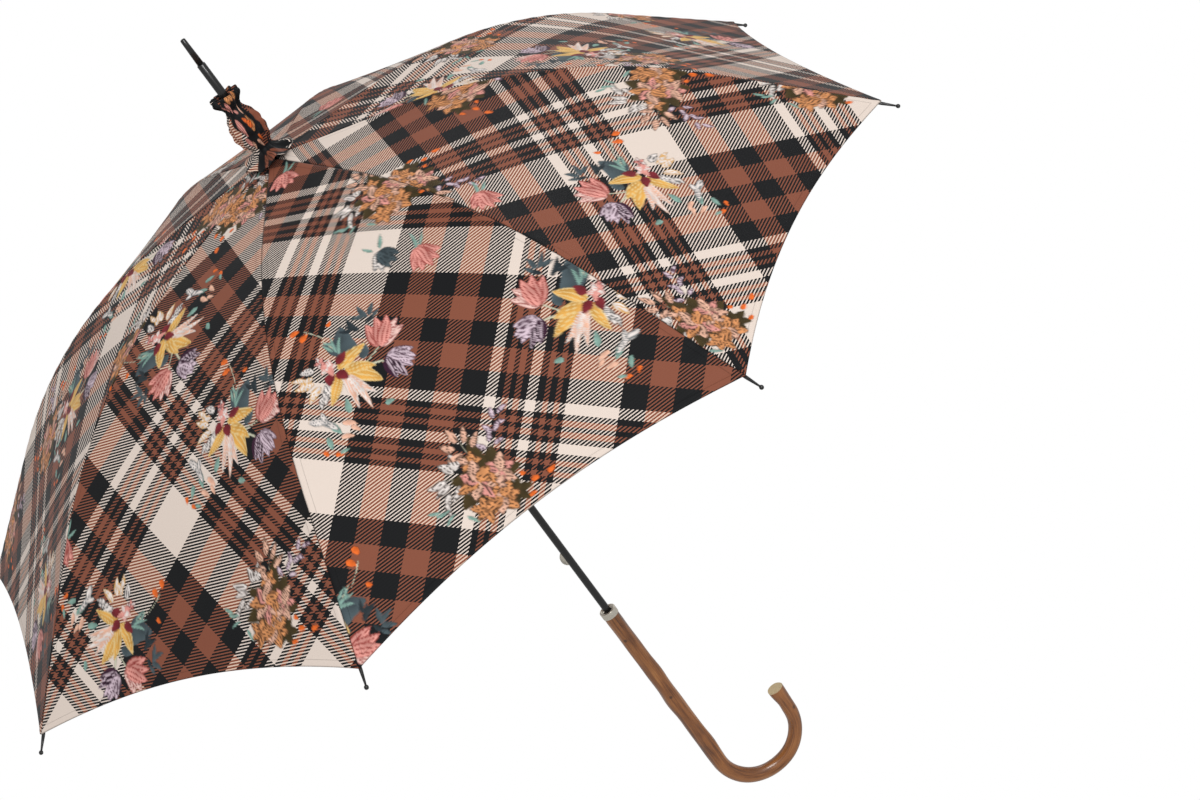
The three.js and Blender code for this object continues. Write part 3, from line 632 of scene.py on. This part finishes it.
upper_rows, upper_share, upper_across = panel_face(1)
lower_rows, lower_share, lower_across = panel_face(2)
lower_rows = [row + len(upper_share) for row in lower_rows]
panel_share = np.concatenate([upper_share, lower_share])
panel_across = np.concatenate([upper_across, lower_across])
panel_is_lower = np.arange(len(panel_share)) >= len(upper_share)
hem_run = RIB_LENGTH - HEM_HOLLOW * (1 - panel_across ** 2)
panel_run = crown_start + panel_share * (hem_run - crown_start)
panel_v = np.interp(panel_run, profile_runs, middle_length) * 1000
panel_half = np.interp(panel_run, profile_runs, profile_out) * math.sin(HALF_STEP)
panel_u = panel_across * panel_half * 1000
to_seam = (1 - np.abs(panel_across)) * panel_half
to_hem = hem_run - panel_run
panel_margin = np.minimum(to_seam, to_hem)
felled = np.clip(np.minimum(to_seam / FELL_EDGE, (FELL_WIDTH - to_seam) / FELL_EDGE), 0, 1)
felled = felled * np.where(panel_across > 0, 1.0, 0.15)
groove = np.exp(-(to_seam / GROOVE_WIDTH) ** 2)
sag = (1 - panel_across ** 2) * np.sin(math.pi * panel_share)
hem = np.clip((HEM_WIDTH - to_hem) / HEM_EDGE, 0, 1)
pucker = np.exp(-(to_seam / PUCKER_REACH) ** 2) * np.sin(panel_run * PUCKER_TURNS)
pucker = pucker * np.clip(panel_share * 3, 0, 1)
relief = FELL_HEIGHT * felled - GROOVE_DEPTH * groove - PANEL_SAG * sag
relief = relief + HEM_HEIGHT * hem + PUCKER_HEIGHT * pucker
thickness = CLOTH_THICKNESS * (1 + hem)
panel_rise = FABRIC_RISE + relief - np.where(panel_is_lower, thickness, 0)
panel_out, panel_up = beside_rib(panel_run, panel_rise)
panel_side = panel_across * (panel_out * math.sin(HALF_STEP) - SEAM_GAP)
panel_local = np.stack([panel_out * math.cos(HALF_STEP), panel_side, panel_up], 1)
upper_faces = panel_faces(upper_rows)
lower_faces = [face[::-1] for face in panel_faces(lower_rows)]
rims = rim_faces([row[0] for row in upper_rows], [row[0] for row in lower_rows], True)
rims += rim_faces([row[-1] for row in upper_rows], [row[-1] for row in lower_rows], False)
rims += rim_faces(upper_rows[0], lower_rows[0], False) + rim_faces(upper_rows[-1], lower_rows[-1], True)
all_faces = upper_faces + lower_faces + rims
face_smooth = np.concatenate([np.ones(len(upper_faces) + len(lower_faces), bool), np.zeros(len(rims), bool)])


def stood_round(local, outward, sideways):
    """Points given as out, across and up, stood in their place round the shaft."""
    return local[:, :1] * outward + local[:, 1:2] * sideways + local[:, 2:] * np.array([0, 0, 1])


for number, (phase, sprays) in CUTS.items():
    azimuth = 2 * number * HALF_STEP
    outward = np.array([math.cos(azimuth), math.sin(azimuth), 0])
    sideways = np.array([-math.sin(azimuth), math.cos(azimuth), 0])
    points = stood_round(panel_local, outward, sideways)
    panel = cut_cloth(
        f"panel_{number}", points, all_faces, face_smooth, panel_u, panel_v, phase, sprays, panel_margin
    )
    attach(panel, f"gore_arm_{number}")
    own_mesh(panel)
    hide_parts(f"gore_{number}")


# ---------- rosette ----------
# A tube of the same satin, gathered round the foot of the ferrule and drawn in by thread at neck and foot.
# It has a frill above and a lobed collar that lies on the crown. Its sizes are in millimetres.

RUCHE_RINGS, RUCHE_SEGMENTS = 150, 192
RUCHE_GIRTH = 171.0  # round the folds of its widest part
RUCHE_PHASE = (-23.0, -65.0)  # where the plaid starts
RUCHE_THICKNESS = 0.9
RUCHE_CLEAR = 0.15  # between the ruching and the ferrule
RUCHE_TUCK = 0.15  # how much lower the inner face sits
RUCHE_WAVES = [(11, 1.0, 0.05, 0), (17, 0.45, -0.07, 1), (5, 0.5, 0.11, 0)]  # count, height, lean and start
CREASE_PITCH = 0.55
CREASED_DEPTH = 1.2  # rings with shallower pleats have no creases
RUCHE_LOBES = 5
FRILL_START = 58
ferrule_low, ferrule_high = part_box("ferrule")
ferrule_radius = (ferrule_high.x - ferrule_low.x) / 2
# radius, height above the crown, depth of the pleats, and how far the lobes lift
RUCHE_PROFILE = [
    (25.0, -3.0, 2.6, 5.0), (22.5, -1.4, 2.0, 4.2), (19.0, 0.6, 1.6, 3.0), (15.0, 3.0, 1.6, 1.5),
    (11.5, 6.0, 1.4, 0.4), (9.8, 9.5, 1.1, 0), (10.8, 13.5, 1.5, 0), (13.2, 18.5, 1.9, 0),
    (14.8, 24.5, 2.0, 0), (15.2, 30.5, 1.9, 0), (14.6, 36.5, 1.9, 0), (12.8, 42.5, 1.7, 0),
    (10.0, 48.0, 1.3, 0), (8.2, 52.5, 1.0, 0), (8.6, 56.0, 1.2, 0), (11.2, 60.5, 2.4, 0),
    (12.8, 65.0, 3.0, 0), (12.6, 68.6, 3.1, 0), (11.0, 68.4, 2.6, 0), (8.2, 64.0, 1.4, 0),
    (5.6, 59.0, 0.4, 0),
]


def smooth_profile(rows, count):
    """A Catmull-Rom curve through the rows."""
    rows = np.array(rows, float)
    stations = np.linspace(0, len(rows) - 1.0001, count)
    i = stations.astype(int)
    t = (stations - i)[:, None]
    a, b, c, d = (rows[np.clip(i + k, 0, len(rows) - 1)] for k in (-1, 0, 1, 2))
    return b + 0.5 * t * (c - a + t * (2 * a - 5 * b + 4 * c - d + t * (3 * (b - c) + d - a)))


ruche = smooth_profile(RUCHE_PROFILE, RUCHE_RINGS)
ruche_width, ruche_rise, ruche_depth, ruche_lift = (ruche[:, i: i + 1] for i in range(4))
turns = np.arange(RUCHE_SEGMENTS) * math.tau / RUCHE_SEGMENTS
fold_turn = turns + 0.010 * ruche_rise * np.sin(2 * turns + 0.6)
pleat = 0
for waves, height, lean, first in RUCHE_WAVES:
    pleat = pleat + height * np.sin(waves * fold_turn + lean * ruche_rise + first)
crease = np.sin(CREASE_PITCH * ruche_rise + 3 * np.sin(3 * turns)) * (ruche_depth > CREASED_DEPTH)
lobes = 0.5 + 0.5 * np.cos(RUCHE_LOBES * turns + 0.8)
ruche_radius = ruche_width + ruche_depth * (0.5 * pleat + 0.25 * crease) + 0.35 * ruche_lift * (lobes - 0.6)
frill_edge = 0.5 * np.sin(7 * turns + 2) * (ruche_rise > FRILL_START)
ruche_height = ruche_rise + ruche_lift * lobes ** 2 + frill_edge
outer_skin = np.stack([ruche_radius * np.cos(turns), ruche_radius * np.sin(turns), ruche_height], 2)
inner_radius = np.maximum(ruche_radius - RUCHE_THICKNESS, ferrule_radius * 1000 + RUCHE_CLEAR)
inner_height = ruche_height - RUCHE_TUCK
inner_skin = np.stack([inner_radius * np.cos(turns), inner_radius * np.sin(turns), inner_height], 2)
ruche_points = np.concatenate([outer_skin.reshape(-1, 3), inner_skin[::-1].reshape(-1, 3)]) / 1000
ruche_points[:, 2] += CROWN_Z
ruche_rings = 2 * len(ruche)
ruche_numbers = np.arange(ruche_rings * RUCHE_SEGMENTS).reshape(ruche_rings, RUCHE_SEGMENTS)
ruche_faces = [
    [ruche_numbers[i, j], ruche_numbers[i, (j + 1) % RUCHE_SEGMENTS],
     ruche_numbers[(i + 1) % ruche_rings, (j + 1) % RUCHE_SEGMENTS], ruche_numbers[(i + 1) % ruche_rings, j]]
    for i in range(ruche_rings) for j in range(RUCHE_SEGMENTS)
]
ruche_steps = np.hypot(np.diff(ruche[:, 0]), np.diff(ruche[:, 1]))
ruche_length = np.concatenate([[0], np.cumsum(ruche_steps)])
ruche_u = np.tile((np.abs(turns - math.pi) - math.pi / 2) * RUCHE_GIRTH / math.tau, ruche_rings)
ruche_v = np.repeat(np.concatenate([ruche_length, ruche_length[::-1]]), RUCHE_SEGMENTS)
SPRAYS["ruche"] = leaves(
    BLACK, None, (-4, 2, 88, 52, 34), (-6, 4, 130, 30, 22), (4, 2, 60, 34, 24),
    (-2, -2, -95, 30, 22), (8, 4, -40, 24, 16),
)
SPRAYS["ruche"] += leaves(
    APRICOT, BLACK, (4, -4, 62, 19, 9), (11, -2, 100, 15, 7), (-2, 30, 70, 14, 8),
    (7, 32, 110, 13, 7), (15, 30, 80, 12, 6),
)
SPRAYS["ruche"] += leaves(
    PINK, BLACK, (-13, 14, -80, 21, 10), (-16, -6, -70, 15, 8), (-8, 34, -100, 15, 8),
    (-15, 22, 110, 11, 7), (3, 18, 160, 10, 5),
)
SPRAYS["ruche"] += leaves(ORANGE, BLACK, (2, 2, 20, 10, 8), (5, 6, 130, 8, 6), (6, -9, -60, 9, 5))
SPRAYS["ruche"] += leaves(
    PEACH, BLACK, (0, -12, -60, 13, 6), (-8, -12, -120, 12, 6), (10, 14, 70, 12, 5),
)
SPRAYS["ruche"] += leaves(
    BLACK, None, (0, -22, -90, 26, 34), (6, -24, -55, 30, 20), (-6, -26, -120, 26, 18),
    (18, -30, -20, 24, 14),
)
SPRAYS["ruche"] += leaves(
    RUST, BLACK, (2, -29, -82, 21, 13), (9, -30, -48, 20, 9), (-5, -31, -112, 17, 7),
)
ruche_sprays = [("ruche", 0, 45, 0, 1)]
rosette = cut_cloth(
    "gathered_rosette", ruche_points, ruche_faces, np.ones(len(ruche_faces), bool), ruche_u, ruche_v,
    RUCHE_PHASE, ruche_sprays, np.full(len(ruche_points), 0.02),
)
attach(rosette, "stick")
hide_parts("rosette")

# ---------- tie strap ----------
# Two layers of the satin sewn to a band, laid down the middle of the panel behind.
# A press snap at its end closes it round the rolled canopy.

STRAP_RUN = (0.340, 0.470)
STRAP_HALF = 0.007
STRAP_LAYERS = 0.0008
STRAP_CLEAR = 0.0009
STRAP_STEPS, STRAP_COLUMNS = 52, 8
STRAP_PHASE = (300.0, 250.0)
STRAP_INSET = 0.0045  # keeps the stitches and the seam's shade off its edges
strap_azimuth = 6 * HALF_STEP
strap_runs, strap_places = np.meshgrid(
    np.linspace(*STRAP_RUN, STRAP_STEPS + 1), np.linspace(-1, 1, STRAP_COLUMNS + 1), indexing="ij"
)
strap_runs, strap_places = strap_runs.ravel(), strap_places.ravel()
strap_points = []
for layer in (1, 0):
    pillow = STRAP_LAYERS * (layer - 0.5) * (1 - 0.75 * strap_places ** 6)
    rise = FABRIC_RISE + STRAP_CLEAR + STRAP_LAYERS / 2 + pillow
    out, up = beside_rib(strap_runs, rise)
    strap_points.append(np.stack([out * math.cos(HALF_STEP), strap_places * STRAP_HALF, up], 1))
strap_points = np.concatenate(strap_points)
strap_count = (STRAP_STEPS + 1) * (STRAP_COLUMNS + 1)
top_grid = np.arange(strap_count).reshape(STRAP_STEPS + 1, STRAP_COLUMNS + 1)
strap_faces = [
    [top_grid[i, j], top_grid[i + 1, j], top_grid[i + 1, j + 1], top_grid[i, j + 1]]
    for i in range(STRAP_STEPS) for j in range(STRAP_COLUMNS)
]
strap_faces += [[a + strap_count for a in face[::-1]] for face in strap_faces]
border = [*top_grid[:-1, 0], *top_grid[-1, :-1], *top_grid[:0:-1, -1], *top_grid[0, :0:-1]]
strap_faces += [
    [here, here + strap_count, following + strap_count, following]
    for here, following in zip(border, border[1:] + border[:1])
]
strap_out = np.array([math.cos(strap_azimuth), math.sin(strap_azimuth), 0])
strap_side = np.array([-math.sin(strap_azimuth), math.cos(strap_azimuth), 0])
strap_world = stood_round(strap_points, strap_out, strap_side)
strap_smooth = np.arange(len(strap_faces)) < 2 * STRAP_STEPS * STRAP_COLUMNS
strap_u = np.tile(strap_places * STRAP_HALF * 1000, 2)
strap_v = np.tile(strap_runs * 1000, 2)
strap_margin = np.tile((1 - np.abs(strap_places)) * STRAP_HALF + STRAP_INSET, 2)
strap = cut_cloth(
    "tie_band", strap_world, strap_faces, strap_smooth, strap_u, strap_v, STRAP_PHASE, [], strap_margin
)
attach(strap, "gore_arm_3")
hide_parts("tie_strap")

# ---------- handle ----------
# One chestnut stick, steamed into a crook with its knots left on, stained and lacquered.
# It is cut square at the end, and the shaft is glued into its socket, under the collar.

COLLAR_GAP = 0.0004
STICK_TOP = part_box("collar")[0].z - COLLAR_GAP
STICK_RADIUS = 0.0080
HANDLE_START = CROWN_Z - 0.586
SHANK_END = CROWN_Z - 0.805
CROOK_RADIUS = 0.0448
CROOK_TAIL = 0.0295
SOCKET_RADIUS, SOCKET_DEPTH = 0.0041, 0.0145
STICK_SIDES = 48
SHANK_STEPS, CROOK_STEPS, TAIL_STEPS = 106, 70, 15
END_RINGS = (0.0006, 0.0016, 0.002, 0.002)  # insets of the cut end, from its edge inwards
shank_length = HANDLE_START - SHANK_END
crook_length = math.pi * CROOK_RADIUS
stick_length = shank_length + crook_length + CROOK_TAIL
# the knots' places along the stick, from its top
OUTER_KNOT, INNER_KNOT = 0.129, 0.088
BEND_KNOT = shank_length - 0.028
CROOK_KNOT = shank_length + 0.66 * crook_length
WAIST = shank_length + 0.78 * crook_length
END_DENT = stick_length - 0.019
KNOT_SPREAD = 0.015
TOP_FADE = 0.012  # the bark is turned smooth over this much under the collar

bpy.ops.mesh.primitive_circle_add(
    vertices=STICK_SIDES, radius=STICK_RADIUS, fill_type="NGON", location=(0, 0, STICK_TOP)
)
handle = bpy.context.object
handle.name = "crook_handle"
bpy.ops.object.transform_apply(location=True)
bpy.ops.object.mode_set(mode="EDIT")
for _ in range(SHANK_STEPS):
    bpy.ops.mesh.extrude_region_move(
        TRANSFORM_OT_translate={"value": (0, 0, (SHANK_END - STICK_TOP) / SHANK_STEPS)}
    )
bpy.ops.mesh.spin(steps=CROOK_STEPS, angle=math.pi, center=(CROOK_RADIUS, 0, SHANK_END), axis=(0, 1, 0))
for _ in range(TAIL_STEPS):
    bpy.ops.mesh.extrude_region_move(TRANSFORM_OT_translate={"value": (0, 0, CROOK_TAIL / TAIL_STEPS)})
for thickness in END_RINGS:
    bpy.ops.mesh.inset(thickness=thickness, depth=0.0)
bpy.ops.mesh.select_all(action="DESELECT")
bpy.ops.object.mode_set(mode="OBJECT")
for face in handle.data.polygons:
    at_top = face.center.z > STICK_TOP - 1e-6 and face.center.x < STICK_RADIUS
    face.select = at_top and abs(face.normal.z) > 0.9
bpy.ops.object.mode_set(mode="EDIT")
bpy.ops.mesh.select_mode(type="FACE")
bpy.ops.mesh.inset(thickness=STICK_RADIUS - SOCKET_RADIUS)
bpy.ops.mesh.extrude_region_move(TRANSFORM_OT_translate={"value": (0, 0, -SOCKET_DEPTH)})
bpy.ops.mesh.select_all(action="SELECT")
bpy.ops.mesh.remove_doubles(threshold=1e-6)
bpy.ops.mesh.normals_make_consistent(inside=False)
bpy.ops.mesh.select_all(action="DESELECT")
bpy.ops.object.mode_set(mode="OBJECT")

stick_points = np.zeros(len(handle.data.vertices) * 3)
handle.data.vertices.foreach_get("co", stick_points)
stick_points = stick_points.reshape(-1, 3)
x, y, z = stick_points.T
bend = np.arctan2(SHANK_END - z, CROOK_RADIUS - x)
in_crook = z < SHANK_END - 1e-7
in_tail = ~in_crook & (x > CROOK_RADIUS)
bend = np.where(in_crook, bend, np.where(in_tail, math.pi, 0.0))
run = np.where(in_crook, shank_length + bend * CROOK_RADIUS, HANDLE_START - z)
run = np.where(in_tail, shank_length + crook_length + z - SHANK_END, run)
middle_z = np.where(in_crook, SHANK_END - CROOK_RADIUS * np.sin(bend), z)
middle = np.stack([CROOK_RADIUS * (1 - np.cos(bend)), 0 * z, middle_z], 1)
outward = np.stack([-np.cos(bend), 0 * z, -np.sin(bend)], 1)
reach = ((stick_points - middle) * outward).sum(1)
angle = np.arctan2(y, reach)
radius = np.hypot(y, reach)


def swell(place, spread, height):
    """A smooth rise in the bark round one place along the stick, or a dip if its height is negative."""
    return height * np.exp(-(((run - place) / spread) ** 2))


outer_side = ((1 + np.cos(angle)) / 2) ** 2
inner_side = ((1 - np.cos(angle)) / 2) ** 2
grown = swell(WAIST, 2.6 * KNOT_SPREAD, -0.0009)
grown = grown + outer_side * swell(OUTER_KNOT, KNOT_SPREAD, 0.0012)
grown = grown + inner_side * swell(INNER_KNOT, KNOT_SPREAD, 0.0008)
grown = grown + inner_side * swell(BEND_KNOT, KNOT_SPREAD, 0.0014)
grown = grown + outer_side * swell(CROOK_KNOT, KNOT_SPREAD, 0.0009)
grown = grown + inner_side * swell(END_DENT, 0.6 * KNOT_SPREAD, -0.0011)
grown = grown + swell(stick_length, KNOT_SPREAD, 0.0008)
bark = 0.00016 * np.sin(3 * angle + 38 * run)
bark = bark + 0.00012 * np.sin(5 * angle - 61 * run + 1)
bark = bark + 0.00009 * np.sin(2 * angle + 160 * run)
grown = np.where(radius > SOCKET_RADIUS + 1e-5, (grown + bark) * np.clip(radius / STICK_RADIUS, 0, 1), 0)
grown = grown * np.clip(run / TOP_FADE, 0, 1)
stick_points += outward * (np.cos(angle) * grown)[:, None]
stick_points[:, 1] += np.sin(angle) * grown
handle.data.vertices.foreach_set("co", stick_points.ravel())
unbent = np.stack([radius * np.cos(angle), radius * np.sin(angle), run], 1)
straight = handle.data.attributes.new("straight", "FLOAT_VECTOR", "POINT")
straight.data.foreach_set("vector", unbent.ravel().astype(np.float32))
handle.data.update()
bpy.ops.object.shade_smooth_by_angle(angle=math.radians(40))

TIMBER_TONES = [
    (0.28, tint(52, 28, 13)), (0.42, tint(104, 60, 28)), (0.53, tint(150, 93, 46)),
    (0.66, tint(178, 118, 64)), (0.82, tint(206, 150, 92)),
]
KNOT_BROWN = tint(36, 20, 12)
# each knot's turn round the stick, its place along it and its size
KNOTS = [
    (0.2, OUTER_KNOT, 0.0042), (2.9, INNER_KNOT, 0.003), (3.3, BEND_KNOT, 0.0046),
    (1.2, 0.150, 0.0028), (-1.4, 0.118, 0.0026), (0.2, CROOK_KNOT, 0.0050), (-1.0, 0.035, 0.0028),
    (1.4, shank_length + 0.3 * crook_length, 0.003), (-0.9, stick_length - 0.028, 0.0032),
]
chestnut, bark_start, wood = new_finish(
    "lacquered_chestnut", Coat_Weight=0.6, Coat_Roughness=0.16, Specular_IOR_Level=0.4
)
stick_place = bark_start.node("ShaderNodeAttribute", {"attribute_name": "straight"}, output=1)
stretched = bark_start.node(
    "ShaderNodeVectorMath", {"operation": "MULTIPLY"}, {0: stick_place, 1: (1, 1, 0.03)}
)
streaky = bark_start.node(
    "ShaderNodeVectorMath", {"operation": "MULTIPLY"}, {0: stick_place, 1: (1, 1, 0.09)}
)
grain = bark_start.node(
    "ShaderNodeTexNoise", values={"Vector": stretched, "Scale": 900.0, "Detail": 5.0, "Roughness": 0.6}
)
streak = bark_start.node(
    "ShaderNodeTexNoise", values={"Vector": streaky, "Scale": 210.0, "Detail": 4.0, "Distortion": 0.4}
)
stain = bark_start.node("ShaderNodeTexNoise", values={"Vector": stick_place, "Scale": 38.0, "Detail": 3.0})
tone = streak * 0.46 + grain * 0.42 + stain * 0.24 - 0.04
timber = bark_start.node("ShaderNodeValToRGB", {"stops": ["LINEAR", *TIMBER_TONES]}, {"Fac": tone})
knot_shade = None
for knot_angle, knot_run, knot_size in KNOTS:
    centre = (STICK_RADIUS * math.cos(knot_angle), STICK_RADIUS * math.sin(knot_angle), knot_run)
    away = bark_start.node(
        "ShaderNodeVectorMath", {"operation": "DISTANCE"}, {0: stick_place, 1: centre}, output=1
    )
    spot = bark_start.node(
        "ShaderNodeMapRange", {"interpolation_type": "SMOOTHSTEP"},
        {"Value": away, "From Min": knot_size * 0.25, "From Max": knot_size, "To Min": 1.0, "To Max": 0.0},
    )
    knot_shade = spot if knot_shade is None else bark_start.maths("MAXIMUM", knot_shade, spot)
timber = bark_start.node(
    "ShaderNodeMix", {"data_type": "RGBA"}, {"Factor": knot_shade * 0.72, 6: timber, 7: KNOT_BROWN}, output=2
)
bark_height = grain * 0.00016 + streak * 0.0005 - knot_shade * 0.0003
feed(wood, "Base Color", timber)
feed(wood, "Roughness", 0.26 + grain * 0.2)
feed(wood, "Normal", bark_start.node(
    "ShaderNodeBump", values={"Strength": 0.55, "Distance": 1.0, "Height": bark_height}
))

END_CENTRE = (2 * CROOK_RADIUS, 0, SHANK_END + CROOK_TAIL)
RING_TONES = [(0.0, tint(196, 168, 118)), (0.6, tint(219, 198, 152)), (1.0, tint(229, 212, 172))]
RING_TURNS = 7200  # radians of tone in each metre out from the pith
end_grain, end_start, sawn = new_finish("sawn_end", Roughness=0.5, Coat_Weight=0.4, Coat_Roughness=0.2)
where = end_start.node("ShaderNodeTexCoord", output="Object")
from_pith = end_start.node(
    "ShaderNodeVectorMath", {"operation": "DISTANCE"}, {0: where, 1: END_CENTRE}, output=1
)
ripple = end_start.node("ShaderNodeTexNoise", values={"Vector": where, "Scale": 420.0, "Detail": 3.0})
ring = end_start.maths("SINE", from_pith * RING_TURNS + ripple * 3.0) * 0.5 + 0.5
ring_colour = end_start.node("ShaderNodeValToRGB", {"stops": ["LINEAR", *RING_TONES]}, {"Fac": ring})
feed(sawn, "Base Color", ring_colour)
feed(sawn, "Normal", end_start.node(
    "ShaderNodeBump", values={"Strength": 0.3, "Distance": 1.0, "Height": ring * 0.0002}
))
handle.data.materials.append(chestnut)
handle.data.materials.append(end_grain)
for face in handle.data.polygons:
    if face.center.z > END_CENTRE[2] - 0.0004 and face.center.x > CROOK_RADIUS and face.normal.z > 0.8:
        face.material_index = 1
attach(handle, "stick")
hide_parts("handle")

# ---------- metal of the shaft and its fittings ----------
# A black stove-lacquered tube and ferrule, black enamelled ribs, and warm nickel on the collar and catches.
# The round ones are copied from their solids with the facets merged, so that they shade as turned metal.


def metal(name, colour, rough, metallic, scale, rough_change, bump, **sockets):
    """A metal or lacquer with fine wear in its gloss and a faint grain along the piece."""
    finish, begin, shader = new_finish(name, Metallic=metallic, **sockets)
    at = begin.node("ShaderNodeTexCoord", output="Object")
    long_way = begin.node("ShaderNodeVectorMath", {"operation": "MULTIPLY"}, {0: at, 1: (1, 1, 0.12)})
    wear = begin.node("ShaderNodeTexNoise", values={"Vector": long_way, "Scale": scale, "Detail": 5.0})
    cloud = begin.node("ShaderNodeTexNoise", values={"Vector": at, "Scale": 45.0, "Detail": 2.0})
    light, dark = tint(*colour), tint(*(c * 0.82 for c in colour))
    clouded = begin.node(
        "ShaderNodeMix", {"data_type": "RGBA"}, {"Factor": cloud, 6: light, 7: dark}, output=2
    )
    worn = begin.node("ShaderNodeBump", values={"Strength": 0.4, "Distance": 1.0, "Height": wear * bump})
    feed(shader, "Base Color", clouded)
    feed(shader, "Roughness", rough + (wear - 0.5) * rough_change)
    feed(shader, "Normal", worn)
    return finish


black_lacquer = metal(
    "black_lacquer", (25, 25, 25), rough=0.34, metallic=0.0, scale=900.0, rough_change=0.2, bump=0.00006,
    Specular_IOR_Level=0.5, Coat_Weight=0.25,
)
dark_steel = metal(
    "black_enamel", (38, 38, 40), rough=0.4, metallic=0.6, scale=700.0, rough_change=0.25, bump=0.00008
)
nickel = metal(
    "warm_nickel", (238, 231, 216), rough=0.34, metallic=0.75, scale=1300.0, rough_change=0.22, bump=0.00005
)

# each round solid, with the name of its copy, its finish and its slot
TURNED = {
    "shaft": ("straight_shaft", black_lacquer, "black_lacquer"),
    "ferrule": ("ferrule_sleeve", black_lacquer, "black_lacquer"),
    "ferrule_tip": ("ferrule_spike", black_lacquer, "black_lacquer"),
    "collar": ("collar_cup", nickel, "nickel"),
    "top_catch": ("top_spring_leaf", nickel, "nickel"),
    "bottom_catch": ("bottom_spring_leaf", nickel, "nickel"),
    "runner": ("runner_slide", dark_steel, "dark_steel"),
    "tie_snap": ("press_snap", nickel, "nickel"),
}
for tip_number in range(1, 9):
    TURNED[f"rib_tip_{tip_number}"] = (f"rib_end_{tip_number}", black_lacquer, "black_lacquer")
bodies = frame["record"]["behaviour"]["bodies"]
body_of_node = {node: body for body, nodes in bodies.items() for node in nodes}
for node, (name, finish, slot) in TURNED.items():
    turned = bpy.data.objects.new(name, frame["nodes"][node].data.copy())
    bpy.context.scene.collection.objects.link(turned)
    bpy.ops.object.select_all(action="DESELECT")
    turned.select_set(True)
    bpy.context.view_layer.objects.active = turned
    bpy.ops.object.mode_set(mode="EDIT")
    bpy.ops.mesh.select_all(action="SELECT")
    bpy.ops.mesh.remove_doubles(threshold=1e-6)
    bpy.ops.mesh.select_all(action="DESELECT")
    bpy.ops.object.mode_set(mode="OBJECT")
    bpy.ops.object.shade_smooth_by_angle(angle=math.radians(38))
    turned.data.materials.clear()
    turned.data.materials.append(finish)
    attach(turned, body_of_node[node])
    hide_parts(node)

for node, solid in frame["nodes"].items():
    if not solid.hide_render:
        solid.data.materials.clear()
        solid.data.materials.append(dark_steel)
